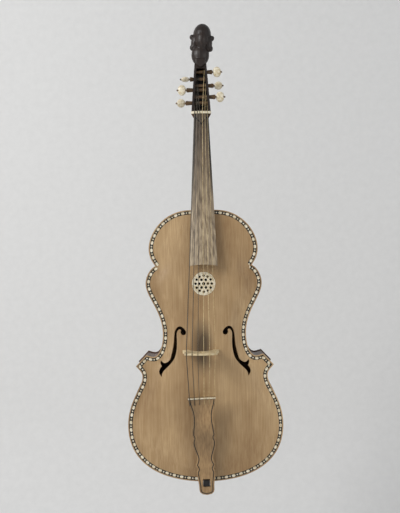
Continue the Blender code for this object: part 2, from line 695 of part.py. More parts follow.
def make_bars():
    """Bass bar and sound post under the belly, and the plate and bars on the back."""
    profile = []
    reach = (BASS_BAR_SPAN[1] - BASS_BAR_SPAN[0]) / BASS_BAR_STEPS / 2
    for i in range(BASS_BAR_STEPS + 1):
        height = mix(BASS_BAR_SPAN, i / BASS_BAR_STEPS)
        front = under_belly(BASS_BAR_X, BASS_BAR_THICKNESS / 2, height, reach) - GAP
        depth = mix(BASS_BAR_DEPTH, math.sin(math.pi * i / BASS_BAR_STEPS))
        profile.append((height, front, depth))
    loop = [Vector((h, f)) for h, f, _ in profile] + [Vector((h, f - d)) for h, f, d in reversed(profile)]
    half = BASS_BAR_THICKNESS / 2
    flat("bass_bar", [loop], BASS_BAR_X - half, BASS_BAR_X + half, PINE, SIDE_VIEW)
    bottom = POST_HEIGHT - POST_PLATE_LENGTH / 2
    top = bottom + POST_PLATE_LENGTH
    reach = min(half_width(h, OVERHANG + RIB_THICKNESS) for h in (bottom, top)) - POST_PLATE_ROOM
    front = RIB_BACK + POST_PLATE_THICKNESS
    box("sound_post_plate", (-reach, RIB_BACK, bottom), (reach, front, top), PINE)
    start = front + GAP
    end = under_belly(POST_X, POST_RADIUS, POST_HEIGHT) - GAP
    flat("sound_post", [circle(POST_RADIUS, 14, (POST_X, POST_HEIGHT))], start, end, PINE)
    for name, height in BACK_BARS.items():
        ends = (height - BACK_BAR_WIDTH / 2, height + BACK_BAR_WIDTH / 2)
        reach = min(half_width(end, OVERHANG + RIB_THICKNESS) for end in ends) - BAR_END_ROOM
        box(name, (-reach, RIB_BACK, ends[0]), (reach, RIB_BACK + BACK_BAR_DEPTH, ends[1]), PINE)


def make_rose():
    """Pierced rose and the bone ring around it, let into the belly and tilted with its arch."""
    rise = arch(0, ROSE_HEIGHT + ROSE_RADIUS) - arch(0, ROSE_HEIGHT - ROSE_RADIUS)
    tilt = math.atan2(rise, 2 * ROSE_RADIUS)
    front = belly_front(0, ROSE_HEIGHT) - ROSE_THICKNESS / 2
    centre = empty("rose_centre", (0, -front, ROSE_HEIGHT), (tilt, 0, 0), BODY)
    half = ROSE_THICKNESS / 2
    inner = ROSE_RADIUS - ROSE_RING_WIDTH
    ring = [circle(ROSE_RADIUS, ROSE_SIDES), circle(inner, ROSE_SIDES)]
    flat("rose_ring", ring, -half, half, IVORY, parent=centre)
    loops = [circle(inner - GAP, ROSE_SIDES), circle(inner * ROSE_EYE, 8)]
    for count, radius, size in ROSE_HOLES:
        for i in range(count):
            angle = 2 * math.pi * i / count
            spot = (inner * radius * math.cos(angle), inner * radius * math.sin(angle))
            loops.append(circle(inner * size, 6, spot))
    flat("rose", loops, -half, half, IVORY, parent=centre)


def board_half(height):
    """Half width of the fingerboard."""
    return mix((BOARD_END_HALF, BOARD_NUT_HALF), between(height, BOARD_END, BOARD_START))


def board_top(height):
    """Front of the fingerboard's crest."""
    start = NUT_STRING_FRONT - BOARD_UNDER_STRING
    return mix((EDGE_FRONT + BOARD_END_RISE, start), between(height, BOARD_END, BOARD_START))


def board_under(height):
    """Front of the fingerboard's flat underside."""
    halves = (BOARD_NUT_HALF, BOARD_END_HALF)
    rows = zip((BOARD_START, BOARD_END), BOARD_CAMBER, halves)
    ends = [board_top(h) - sag(c, w) - BOARD_EDGE for h, c, w in rows]
    return ends[1] + (ends[0] - ends[1]) * (height - BOARD_END) / (BOARD_START - BOARD_END)


def make_fingerboard():
    """Long cambered fingerboard, glued to the neck and free over the belly, hollowed a little at its end."""
    sections = []
    for section in range(BOARD_SECTIONS + 1):
        share = section / BOARD_SECTIONS
        height = mix((BOARD_END, BOARD_START), share)
        half = board_half(height)
        camber = mix((BOARD_CAMBER[1], BOARD_CAMBER[0]), share)
        hollow = 0 if section else BOARD_END_HOLLOW
        spots = [2 * i / BOARD_FACETS - 1 for i in range(BOARD_FACETS + 1)]
        top = board_top(height)
        ring = [(half * t, sag(camber, half * t) - top, height + hollow * (1 - t * t)) for t in spots]
        ring += [(half * t, -board_under(height), height + hollow * (1 - t * t)) for t in (1, 0, -1)]
        sections.append(ring)
    loft("fingerboard", sections, WALNUT)


def make_neck():
    """Neck with its heel, from the ribs to the pegbox, widening into shoulders below the nut."""
    rows = [(NECK_BUTT + up * MM, depth) for up, depth in HEEL]
    rows.append(((NECK_BUTT + NECK_TOP) / 2, NECK_MIDDLE_DEPTH))
    rows += [(min(NUT_HEIGHT - down * MM, NECK_TOP), depth) for down, depth in THROAT]
    sections = []
    for height, depth in rows:
        front = board_under(min(height, BOARD_START)) - GAP
        half = board_half(height) - NECK_NARROWER
        half = mix((half, NUT_HALF), eased(between(height, NUT_HEIGHT - SHOULDER_LENGTH, NUT_HEIGHT)))
        depth = min(depth * MM, front - back_inner(BODY_LENGTH) - GAP)
        ring = [(half, -front, height)]
        for i in range(NECK_FACETS + 1):
            angle = math.pi * i / NECK_FACETS
            drop = NECK_SIDE + (depth - NECK_SIDE) * math.sin(angle)
            ring.append((half * math.cos(angle), -(front - drop), height))
        ring.append((-half, -front, height))
        sections.append(ring)
    loft("neck", sections, MAPLE)


def string_at_nut(i):
    """Middle of a string on the nut, as x and front."""
    x = (i - 2.5) * NUT_SPACING
    return x, NUT_STRING_FRONT - sag(NUT_CAMBER, x) + STRING_DIAMETERS[i] / 2


def string_at_bridge(i):
    """Middle of a string on the bridge, as x and front."""
    x = (i - 2.5) * BRIDGE_SPACING
    return x + BRIDGE_SHIFT, BRIDGE_STRING_FRONT - sag(BRIDGE_CAMBER, x)


def notched(line_front, middles, low, high, depth):
    """A crest line from low to high x with a notch under each string."""
    stops = [mix((low, high), i / CREST_POINTS) for i in range(CREST_POINTS + 1)]
    rooms = [(x, d / 2 + 2 * GAP) for x, d in middles]
    points = [Vector((x, line_front(x))) for x in stops if all(abs(x - c) > w + GAP for c, w in rooms)]
    for x, room in rooms:
        floor = depth(x)
        points += [Vector((x - room, line_front(x - room))), Vector((x - room * NOTCH_FLOOR, floor))]
        points += [Vector((x + room * NOTCH_FLOOR, floor)), Vector((x + room, line_front(x + room)))]
    return sorted(points, key=lambda p: p.x)


def make_nut():
    """Bone nut across the head of the neck, with a slot for each string."""
    base = board_under(BOARD_START)

    def crest(x):
        return NUT_STRING_FRONT - sag(NUT_CAMBER, x) + NUT_SLOT_DEPTH

    def floor(x):
        return NUT_STRING_FRONT - sag(NUT_CAMBER, x) - GAP

    middles = [(string_at_nut(i)[0], STRING_DIAMETERS[i]) for i in range(6)]
    top = notched(crest, middles, -NUT_HALF, NUT_HALF, floor)
    loop = [Vector((NUT_HALF, base)), Vector((-NUT_HALF, base))] + top
    flat("nut", [loop], -(NUT_HEIGHT + NUT_LENGTH), -NUT_HEIGHT, IVORY, END_VIEW)


def make_bridge():
    """Cut-out bridge, standing on the belly and thinner at its crest."""
    def ground(x):
        return belly_front(x + BRIDGE_SHIFT, BRIDGE_HEIGHT) + GAP

    def crest(x):
        return BRIDGE_STRING_FRONT - sag(BRIDGE_CAMBER, x)

    def floor(x):
        i = round(x / BRIDGE_SPACING + 2.5)
        return crest(x) - STRING_DIAMETERS[i] / 2 - GAP

    def standing(row, side=1):
        x = row[0] * MM * side
        return Vector((x, mix((ground(x), crest(x)), row[1])))

    middles = [((i - 2.5) * BRIDGE_SPACING, STRING_DIAMETERS[i]) for i in range(6)]
    top = notched(crest, middles, -BRIDGE_CREST_HALF, BRIDGE_CREST_HALF, floor)
    right = [standing(row) for row in BRIDGE_SIDE]
    left = [standing(row, -1) for row in reversed(BRIDGE_SIDE)]
    under = [standing(row, -1) for row in BRIDGE_ARCH] + [standing(row) for row in BRIDGE_ARCH[-2::-1]]
    loop = right + top[::-1] + left + under
    heart = [standing(row) for row in BRIDGE_HEART]
    thick = BRIDGE_FOOT_THICKNESS
    bridge = flat("bridge", [loop, heart], -thick / 2, thick / 2, BOXWOOD, END_VIEW)
    bridge.location = (BRIDGE_SHIFT, 0, BRIDGE_HEIGHT)
    feet = ground(0)
    for vertex in bridge.data.vertices:
        share = (vertex.co.y - feet) / (BRIDGE_STRING_FRONT - feet)
        vertex.co.z *= mix((thick, BRIDGE_TOP_THICKNESS), share) / thick


def tail_matrix():
    """Frame of the tailpiece: x across, y behind its front face, z up from its lower end."""
    place = Matrix.Translation((0, -(EDGE_FRONT + TAIL_END_RISE), TAIL_END_HEIGHT))
    tilt = Matrix.Rotation(math.radians(TAIL_TILT), 4, "X")
    pivot = Matrix.Translation((0, 0, sum(MORTISE) / 2))
    swing = Matrix.Rotation(math.radians(-TAIL_SWING), 4, "Y")
    return place @ tilt @ pivot @ swing @ pivot.inverted()


def tail_hole(i):
    return (i - 2.5) * TAIL_SPACING


def make_tailpiece():
    """Shaped tailpiece with string holes, its saddle, and the hook bar let into the foot of the ribs."""
    frame = empty("tailpiece_end", parent=BODY)
    frame.matrix_basis = tail_matrix()
    right = [Vector(p) * MM for p in TAIL_EDGE]
    edge = right + mirrored(reversed(right[1:]), -1)
    low, high = MORTISE
    mortise = [Vector((x, y)) for x, y in ((-MORTISE_HALF, low), (MORTISE_HALF, low), (MORTISE_HALF, high),
                                           (-MORTISE_HALF, high))]
    holes = [circle(STRING_DIAMETERS[i] / 2 + HOLE_ROOM, 8, (tail_hole(i), TAIL_HOLES)) for i in range(6)]
    flat("tailpiece", [edge, mortise, *holes], -TAIL_THICKNESS, 0, FRUITWOOD, parent=frame)
    seat = (-SADDLE_HALF, GAP, SADDLE[0])
    box("tailpiece_saddle", seat, (SADDLE_HALF, SADDLE_RISE, SADDLE[1]), IVORY, frame)
    back_corner = tail_matrix() @ Vector((0, TAIL_THICKNESS, low))
    bottom = back_corner.z + 2 * GAP
    box("tail_hook", (-HOOK_HALF, RIB_BACK, bottom), (HOOK_HALF, EDGE_FRONT + HOOK_RISE, HOOK_TOP), EBONY)


def pegbox_half(height):
    """Half width of the pegbox outside its cheeks."""
    return PEGBOX_HALVES[0] + (PEGBOX_HALVES[1] - PEGBOX_HALVES[0]) * (height - PEGBOX_START) / (
        PEGBOX_END - PEGBOX_START)


def peg_place(k):
    """Front and height of a peg's axis."""
    rise = sum(PEG_PITCHES[:k])
    return NUT_STRING_FRONT + mix(PEG_LINE, rise / PEG_SPAN), PEGBOX_START + FIRST_PEG + rise


def peg_radius(out):
    """Radius of a peg's shaft at a distance from the pegbox's middle towards its head."""
    return PEG_MID_RADIUS + PEG_TAPER * out


def make_pegbox():
    """Open pegbox with two cheeks, a floor and tapered peg holes."""
    outside = ((0, PEGBOX_BACKS[0]), (PEGBOX_LENGTH, PEGBOX_BACKS[1]), (PEGBOX_LENGTH, PEGBOX_FRONTS[1]),
               (0, PEGBOX_FRONTS[0]))
    ledge, ledge_front = WELL_LEDGE
    end = PEGBOX_LENGTH - WELL_END_WALL
    hollow = ((-WELL_OPEN, WELL_OPEN), (-WELL_OPEN, ledge_front), (ledge, ledge_front),
              (ledge + WELL_RAMP, WELL_FLOORS[0]), (end, WELL_FLOORS[1]),
               (end + WELL_END_WALL / 2, WELL_OPEN))
    corner = Vector((PEGBOX_START, NUT_STRING_FRONT))
    pegbox = flat("pegbox", [[corner + Vector(p) for p in outside]], -1, 1, WALNUT, SIDE_VIEW)
    for vertex in pegbox.data.vertices:
        vertex.co.z = math.copysign(pegbox_half(vertex.co.x), vertex.co.z)
    well = flat("pegbox_well", [[corner + Vector(p) for p in hollow]], -1, 1, WALNUT, SIDE_VIEW)
    for vertex in well.data.vertices:
        vertex.co.z = math.copysign(pegbox_half(vertex.co.x) - CHEEK, vertex.co.z)
    boolean(pegbox, well)
    reach = 2 * PEGBOX_HALVES[0]
    for k in range(6):
        front, height = peg_place(k)
        outward = -1 if k % 2 == 0 else 1
        shape = bmesh.new()
        bmesh.ops.create_cone(shape, cap_ends=True, segments=16, radius1=peg_radius(-reach) + GAP,
                              radius2=peg_radius(reach) + GAP, depth=2 * reach)
        mesh = bpy.data.meshes.new("peg_hole")
        shape.to_mesh(mesh)
        shape.free()
        turn = (0, outward * math.pi / 2, 0)
        boolean(pegbox, add(f"peg_hole_{k}", mesh, WALNUT, location=(0, -front, height), rotation=turn))


def helix(radius, start, step, diameter):
    """Points of a winding round the X axis, from the front up and over, with straight ends."""
    count = TURNS * LOOP_POINTS
    points = []
    for i in range(count + 1):
        angle = 2 * math.pi * i / LOOP_POINTS
        x = start + step * i / LOOP_POINTS
        points.append(Vector((x, -radius * math.cos(angle), radius * math.sin(angle))))
    lead = (points[0] - points[1]).normalized() * diameter
    trail = (points[-1] - points[-2]).normalized() * diameter
    return [points[0] + lead, *points, points[-1] + trail]


def winding_gap(points, diameter):
    """Least gap between a winding's turns, measured on its points."""
    least = 1.0
    for i, one in enumerate(points):
        for two in points[i + LOOP_POINTS // 2:]:
            least = min(least, (one - two).length - diameter)
    return least


def string_side(k):
    """Where a peg's string arrives, and the way from there to the pegbox's middle."""
    _, height = peg_place(k)
    outward = -1 if k % 2 == 0 else 1
    diameter = STRING_DIAMETERS[PEG_STRINGS[k]]
    return outward * (pegbox_half(height) - CHEEK - CHEEK_ROOM - diameter / 2), -outward


def make_pegs():
    """Pegs from the nut upwards: shaft with collar and pip, oval head and the string's turns."""
    for k in range(6):
        front, height = peg_place(k)
        i = PEG_STRINGS[k]
        number = 6 - i
        outward = -1 if k % 2 == 0 else 1
        cheek = pegbox_half(height)
        axis = empty(f"peg_{number}_axis", (0, -front, height), (math.radians(PEG_TURNS[k]), 0, 0), BODY)
        lying = (0, outward * math.pi / 2, 0)
        collar = cheek + GAP + PEG_EXPOSED[k]
        head = collar + COLLAR_LENGTH
        tip = head + PEG_HEAD_LENGTH + PIP_LENGTH
        far = -cheek - PEG_STICKS_OUT
        profile = ((tip, 0), (tip - 0.5 * MM, TENON_RADIUS * 0.75), (tip - 1.5 * MM, TENON_RADIUS),
                   (head, TENON_RADIUS), *((head - down * MM, radius * MM) for down, radius in COLLAR),
                   (collar, peg_radius(collar) + PEG_SWELL), (cheek + 0.5 * GAP, peg_radius(cheek)),
                   (far + 1 * MM, peg_radius(far)), (far, peg_radius(far) - 1 * MM), (far, 0))
        turned(f"peg_{number}_shaft", profile, BOXWOOD, axis, lying)
        radii = (PEG_HEAD_WIDTH / 2, PEG_HEAD_THICKNESS / 2, PEG_HEAD_LENGTH / 2 - GAP)
        middle = outward * (head + PEG_HEAD_LENGTH / 2)
        oval = ball(f"peg_{number}_head", (radii[2], radii[1], radii[0]), IVORY, axis, (middle, 0, 0))
        shape = bmesh.new()
        bmesh.ops.create_cone(shape, cap_ends=True, segments=10, radius1=TENON_RADIUS + GAP,
                              radius2=TENON_RADIUS + GAP, depth=2 * PEG_HEAD_LENGTH)
        mesh = bpy.data.meshes.new("tenon_hole")
        shape.to_mesh(mesh)
        shape.free()
        boolean(oval, add(f"tenon_hole_{number}", mesh, IVORY, axis, (middle, 0, 0), lying))
        diameter = STRING_DIAMETERS[i]
        x, inward = string_side(k)
        pitch = diameter + TURN_ROOM
        radius = peg_radius(abs(x)) + GAP + diameter / 2
        points = helix(radius, x + inward * pitch, inward * pitch, diameter)
        material = WOUND if i < WOUND_STRINGS else GUT
        tube(f"string_{number}_winding", points, diameter, material, axis, 1)
        print(f"string_{number}_winding: least gap {winding_gap(points, diameter) / MM:.2f} mm")


def make_strings():
    """Strings from their knots behind the tailpiece, over saddle, bridge and nut, to their pegs."""
    tail = tail_matrix()
    for k in range(6):
        i = PEG_STRINGS[k]
        diameter = STRING_DIAMETERS[i]
        x = tail_hole(i)
        behind = TAIL_THICKNESS + GAP
        over = GAP + diameter / 2
        rise = SADDLE_RISE + over
        route = [(behind + away * diameter, TAIL_HOLES) for away, _ in KNOT]
        route += [(behind, TAIL_HOLES), (-over, TAIL_HOLES), (-rise, SADDLE[0]), (-rise, SADDLE[1])]
        path = [tail @ Vector((x, y, z)) for y, z in route]
        bridge_x, bridge_front = string_at_bridge(i)
        for way in (-1, 1):
            path.append(Vector((bridge_x, -bridge_front, BRIDGE_HEIGHT + way * BRIDGE_TOP_THICKNESS / 2)))
        nut_x, nut_front = string_at_nut(i)
        path.append(Vector((nut_x, -nut_front, NUT_HEIGHT)))
        path.append(Vector((nut_x, -nut_front, NECK_TOP)))
        peg_x, _ = string_side(k)
        front, height = peg_place(k)
        radius = peg_radius(abs(peg_x)) + GAP + diameter / 2
        rise = height - NECK_TOP
        drop = nut_front - front
        start = math.pi / 2 - math.acos(radius / math.hypot(rise, drop)) - math.atan2(drop, rise)
        for step in range(WRAP_STEPS + 1):
            angle = math.radians(WRAP_DEGREES) * step / WRAP_STEPS - start
            turned = radius * Vector((0, -math.cos(angle), math.sin(angle)))
            path.append(Vector((peg_x, -front, height)) + turned)
        radii = [size for _, size in KNOT] + [1] * (len(path) - len(KNOT))
        material = WOUND if i < WOUND_STRINGS else GUT
        tube(f"string_{6 - i}", path, diameter, material, radii=radii)


def make_head():
    """Carved head on a small bust, with rolled side curls and a tongue over the pegbox."""
    middle = NUT_STRING_FRONT + (PEGBOX_BACKS[1] + PEGBOX_FRONTS[1]) / 2
    base = empty("head_base", (0, -middle, PEGBOX_END), parent=BODY)
    leaning = empty("head_lean", rotation=(0, math.radians(HEAD_LEAN), 0), parent=base)
    pieces = []
    for n, (x, front, height, *radii) in enumerate(HEAD_LUMPS):
        sizes = [r * MM for r in radii]
        place = (x * MM, -front * MM, height * MM)
        rings = LARGE_RINGS if n < LARGE_LUMPS else SMALL_RINGS
        holder = leaning if n else base
        pieces.append(ball(f"head_lump_{n}" if n else "head", sizes, WALNUT, holder, place, rings))
    edge = (PEGBOX_FRONTS[1] - PEGBOX_BACKS[1]) / 2
    back = edge + TONGUE_CLEAR
    edge_line = [Vector(p) * MM for p in TONGUE]
    tongue = flat("tongue", [edge_line], back, back + TONGUE_THICKNESS, WALNUT, parent=base)
    head = pieces[0]
    for piece in pieces[1:] + [tongue]:
        boolean(head, piece, "UNION")
    slab = box("head_seat", (-HEAD_CUT, -HEAD_CUT, -HEAD_CUT), (HEAD_CUT, edge + GAP, GAP), WALNUT, base)
    boolean(head, slab)


make_back()
make_ribs()
make_blocks()
make_belly()
make_bars()
make_rose()
make_neck()
make_fingerboard()
make_nut()
make_pegbox()
make_head()
make_pegs()
make_bridge()
make_tailpiece()
make_strings()
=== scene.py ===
"""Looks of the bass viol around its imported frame: woods, bone, gut and inlays, in the photograph's view."""

import math

import bmesh
import bpy
from mathutils import Matrix, Vector
from mathutils.geometry import delaunay_2d_cdt, interpolate_bezier, intersect_point_line


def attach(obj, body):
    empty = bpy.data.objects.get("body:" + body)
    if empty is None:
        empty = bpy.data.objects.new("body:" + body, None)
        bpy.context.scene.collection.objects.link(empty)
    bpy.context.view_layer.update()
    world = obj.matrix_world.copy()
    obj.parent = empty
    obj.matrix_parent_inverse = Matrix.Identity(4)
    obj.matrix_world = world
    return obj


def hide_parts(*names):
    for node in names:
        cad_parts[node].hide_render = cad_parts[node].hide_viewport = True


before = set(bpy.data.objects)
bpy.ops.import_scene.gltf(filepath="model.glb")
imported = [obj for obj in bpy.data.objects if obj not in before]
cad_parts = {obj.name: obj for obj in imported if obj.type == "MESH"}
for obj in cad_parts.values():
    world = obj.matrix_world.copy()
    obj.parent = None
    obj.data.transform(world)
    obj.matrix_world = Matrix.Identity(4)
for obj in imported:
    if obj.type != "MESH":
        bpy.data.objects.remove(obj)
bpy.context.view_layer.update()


# Blocks, bars and sound post inside the body.
# Split pine, planed and glued in with hot glue. It is never varnished, so it stays pale and dull.

MM = 0.001


def rgb(code):
    """A hex colour as linear values."""
    channels = [int(code[i:i + 2], 16) / 255 for i in (1, 3, 5)]
    return (*(c / 12.92 if c <= 0.04045 else ((c + 0.055) / 1.055) ** 2.4 for c in channels), 1)


def add(tree, kind, inputs=None, stops=(), **settings):
    """Adds a node with its settings, its colour stops, and a link or a value for each input."""
    made = tree.nodes.new(kind)
    for key, value in settings.items():
        setattr(made, key, value)
    if stops:
        for element, (where, code) in zip(made.color_ramp.elements, stops):
            element.position = where
            element.color = rgb(code)
    for key, value in (inputs or {}).items():
        if isinstance(value, bpy.types.NodeSocket):
            tree.links.new(value, made.inputs[key])
        else:
            made.inputs[key].default_value = value
    return made


def blank(name, roughness):
    """A new Principled material with its tree, its shader and the object's coordinates."""
    made = bpy.data.materials.new(name)
    made.use_nodes = True
    tree = made.node_tree
    shader = tree.nodes["Principled BSDF"]
    shader.inputs["Roughness"].default_value = roughness
    return made, tree, shader, add(tree, "ShaderNodeTexCoord").outputs["Object"]


def wood(name, dark, light, roughness=0.4, grain=(260, 260, 9), relief=0.15):
    """Planed and scraped wood: its fibres show as fine streaks along the grain, and handling leaves
    clouds that are darker and duller than the rest."""
    made, tree, shader, place = blank(name, roughness)
    run = add(tree, "ShaderNodeMapping", {"Vector": place, "Scale": grain}).outputs["Vector"]
    fibres = add(tree, "ShaderNodeTexNoise",
                 {"Vector": run, "Scale": 1, "Detail": 5, "Roughness": 0.6}).outputs[0]
    cloud = add(tree, "ShaderNodeTexNoise", {"Vector": place, "Scale": 9, "Detail": 3}).outputs[0]
    colour = add(tree, "ShaderNodeValToRGB", {0: fibres}, ((0.3, dark), (0.7, light))).outputs[0]
    shade = add(tree, "ShaderNodeValToRGB", {0: cloud}, ((0.3, "#8a8a8a"), (0.7, "#ffffff"))).outputs[0]
    both = add(tree, "ShaderNodeMix", {0: 0.7, 6: colour, 7: shade}, data_type="RGBA", blend_type="MULTIPLY")
    rough = add(tree, "ShaderNodeMapRange",
                {"Value": cloud, "To Min": roughness - 0.1, "To Max": roughness + 0.15})
    raised = add(tree, "ShaderNodeBump", {"Height": fibres, "Strength": relief, "Distance": 0.4 * MM})
    tree.links.new(both.outputs[2], shader.inputs["Base Color"])
    tree.links.new(rough.outputs[0], shader.inputs["Roughness"])
    tree.links.new(raised.outputs[0], shader.inputs["Normal"])
    return made


def dress(finish, *names):
    """Gives a finish to nodes of the frame."""
    for name in names:
        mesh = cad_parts[name].data
        mesh.materials.clear()
        mesh.materials.append(finish)


INSIDE_ENDINGS = ("_block", "_bar", "_post", "post_plate")
dress(wood("bare pine inside", "#8d6c44", "#b9966a", 0.7),
      *(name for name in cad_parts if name.endswith(INSIDE_ENDINGS)))


# Back plate and ribs.
# Thin maple, the ribs bent over a hot iron and glued to the blocks, the back flat and folded near the neck.
# Both are varnished brown and worn by handling.

MAPLE = wood("varnished maple", "#4a2c18", "#7a4d2a")
dress(MAPLE, "back_plate", *(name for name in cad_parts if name.endswith("_rib")))


# Belly.
# Spruce carved to a shallow arch with a flat border, glued on the ribs, with the sound holes cut by knife.
# The varnish has worn thin, so the growth lines and cloudy dirt show.

GAP = 0.3 * MM
REST_HEIGHT = 157 * MM
EDGE_FRONT = 127.6 * MM
BELLY_THICKNESS = 4.5 * MM
BELLY_ARCH = 17 * MM
BORDER = 14.6 * MM
ARCH_RISE = 30 * MM
ARCH_CREST = 350 * MM
ARCH_REACH = 390 * MM
ARCH_WIDTHS = ((-20, 60), (150, 215), (400, 122), (560, 165), (762, 60))
LOWER_BOUT = ((0, 0, 0, 0, 114), (212, 154, 90, 109, 70), (171, 288, 90, 30, 12), (188.5, 317, 48, 16, 0))
LOWER_STEPS = (48, 24, 8)
WAIST = ((160, 347, 194, 0, 6), (140, 342, 180, 7, 15), (113.4, 403, 90, 32, 64), (158.7, 542, 90, 37, 20),
         (132, 590, 158, 15, 0))
WAIST_STEPS = (4, 12, 24, 12)
UPPER_BOUT = ((132, 590, 62, 0, 10), (149, 637, 90, 26, 43), (34, 742, 180, 74, 0))
UPPER_STEPS = (12, 32)
BODY_LENGTH = 742 * MM
SOUND_HOLE = ((94.5, 337), (91.5, 347), (87.4, 364), (84.5, 381), (82.5, 403), (80, 415), (74, 423),
              (66, 425.5), (58, 421.5), (52, 415), (49.8, 409), (52, 403.5), (57.6, 401.5), (63, 404),
              (65.4, 409.5), (64, 415), (67.5, 417.5), (72, 414.5), (75, 408), (75.5, 399), (74.9, 381),
              (76, 364), (79, 349), (84, 336), (94.7, 322), (111, 306), (117, 296), (117.8, 288),
              (124, 296), (125.3, 304), (122, 312), (118, 317.5), (121.5, 325), (119.7, 333), (111, 325.5),
              (101, 329.5))
SHARP_HOLE_POINTS = (27, 31, 33)
HOLE_STEPS = 4
ROSE_HEIGHT = 541 * MM
ROSE_RADIUS = 32 * MM
ROSE_POINTS = 64
NECK_SEAT = 31.9 * MM
NECK_SEAT_DEPTH = 3 * MM
NECK_END = 700 * MM
HOOK_SEAT = 9.3 * MM
HOOK_TOP = 8 * MM
HOOK_FOOT = 0.1 * MM
GRID = 14 * MM
GRID_ROWS = 54
GRID_HALF_COLUMNS = 16
BORDER_ROOM = 5 * MM
HOLE_ROOM = 4 * MM
NEAR = 40 * MM
INSET_TOLERANCE = 0.15 * MM
SHARP_ANGLE = math.radians(40)
DARK_PATCH_PLACE = (-7 * MM, -150 * MM, 212 * MM)
DARK_PATCH_HALF = (42 * MM, 200 * MM, 105 * MM)


def old_spruce():
    """Spruce split on the quarter, scraped and varnished thinly: close growth lines run down the plate, the
    fibres between them shimmer, and old dirt leaves broad clouds. Around the bridge, under the strings, a
    ragged patch is darkened almost to black."""
    made, tree, shader, place = blank("old varnished spruce", 0.42)
    years = add(tree, "ShaderNodeMapping", {"Vector": place, "Scale": (1, 1, 0.12)}).outputs[0]
    lines = add(tree, "ShaderNodeTexWave",
                {"Vector": years, "Scale": 150, "Distortion": 3, "Detail": 2, "Detail Scale": 0.4},
                wave_type="BANDS", bands_direction="X").outputs["Fac"]
    run = add(tree, "ShaderNodeMapping", {"Vector": place, "Scale": (320, 320, 6)}).outputs[0]
    fibres = add(tree, "ShaderNodeTexNoise",
                 {"Vector": run, "Scale": 1, "Detail": 4, "Roughness": 0.6}).outputs[0]
    long = add(tree, "ShaderNodeMapping", {"Vector": place, "Scale": (1, 1, 0.5)}).outputs[0]
    cloud = add(tree, "ShaderNodeTexNoise",
                {"Vector": long, "Scale": 7, "Detail": 4, "Roughness": 0.6}).outputs[0]
    base = add(tree, "ShaderNodeValToRGB", {0: lines}, ((0.1, "#b3946a"), (0.8, "#d0b48a"))).outputs[0]
    grain = add(tree, "ShaderNodeValToRGB", {0: fibres}, ((0.35, "#c9b79c"), (0.7, "#ffffff"))).outputs[0]
    shade = add(tree, "ShaderNodeValToRGB", {0: cloud}, ((0.32, "#b5a692"), (0.66, "#ffffff"))).outputs[0]
    body = add(tree, "ShaderNodeMix", {0: 0.55, 6: base, 7: grain}, data_type="RGBA", blend_type="MULTIPLY")
    both = add(tree, "ShaderNodeMix", {0: 0.8, 6: body.outputs[2], 7: shade}, data_type="RGBA",
               blend_type="MULTIPLY")
    # A ragged patch around the bridge, under the strings, is darkened almost to black.
    centred = add(tree, "ShaderNodeVectorMath", {0: place, 1: DARK_PATCH_PLACE}, operation="SUBTRACT").outputs[0]
    spread = add(tree, "ShaderNodeVectorMath", {0: centred, 1: DARK_PATCH_HALF}, operation="DIVIDE").outputs[0]
    patch = add(tree, "ShaderNodeTexGradient", {0: spread}, gradient_type="SPHERICAL").outputs["Fac"]
    ragged = add(tree, "ShaderNodeMath", {0: patch, 1: cloud}, operation="MULTIPLY").outputs[0]
    amount = add(tree, "ShaderNodeMapRange",
                 {"Value": ragged, "From Min": 0.08, "From Max": 0.4, "To Max": 0.8})
    patch_darkened = add(tree, "ShaderNodeMix", {0: amount.outputs[0], 6: both.outputs[2], 7: rgb("#1c150e")},
                data_type="RGBA")
    raised = add(tree, "ShaderNodeBump", {"Height": lines, "Strength": 0.12, "Distance": 0.3 * MM})
    tree.links.new(patch_darkened.outputs[2], shader.inputs["Base Color"])
    tree.links.new(raised.outputs[0], shader.inputs["Normal"])
    return made


def put(name, data, finish, body="viol", stands_for=()):
    """Adds a mesh or curve that rides on a body and may stand for nodes of the frame."""
    made = bpy.data.objects.new(name, data)
    bpy.context.scene.collection.objects.link(made)
    data.materials.clear()
    data.materials.append(finish)
    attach(made, body)
    if stands_for:
        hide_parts(*stands_for)
        dress(finish, *stands_for)
    return made


def at(x, front, height):
    """A point from x, the distance in front of the back and the height above the body's foot."""
    return Vector((x, -front, height - REST_HEIGHT))


def between(value, low, high):
    return min(1, max(0, (value - low) / (high - low)))


def mix(ends, share):
    return ends[0] + (ends[1] - ends[0]) * share


def eased(share):
    return share * share * (3 - 2 * share)


def stretch(knots, steps):
    """Points of a smooth stretch of the outline, through knots of place, direction and two handles."""
    points = []
    for (x0, z0, a0, _, after), (x1, z1, a1, before, _), count in zip(knots, knots[1:], steps):
        start = Vector((x0, z0))
        end = Vector((x1, z1))
        leave = start + after * Vector((math.cos(math.radians(a0)), math.sin(math.radians(a0))))
        arrive = end - before * Vector((math.cos(math.radians(a1)), math.sin(math.radians(a1))))
        run = interpolate_bezier(start, leave, arrive, end, count + 1)
        points += run if not points else run[1:]
    return [Vector((p.x, p.y)) * MM for p in points]


def mirrored(line):
    """A line's mirror image, backwards."""
    return [Vector((-p.x, p.y)) for p in reversed(line)]


half_outline = stretch(LOWER_BOUT, LOWER_STEPS) + stretch(WAIST, WAIST_STEPS)
half_outline += stretch(UPPER_BOUT, UPPER_STEPS)[1:]
half_outline.append(Vector((0, BODY_LENGTH)))
outline = half_outline + mirrored(half_outline[1:-1])


def edge_distance(point, loop):
    """Distance from a point to a closed line."""
    nearest = 1.0
    for i, start in enumerate(loop):
        if (start - point).length - NEAR < nearest:
            share = intersect_point_line(point, loop[i - 1], start)[1]
            place = loop[i - 1].lerp(start, min(1, max(0, share)))
            nearest = min(nearest, (point - place).length)
    return nearest


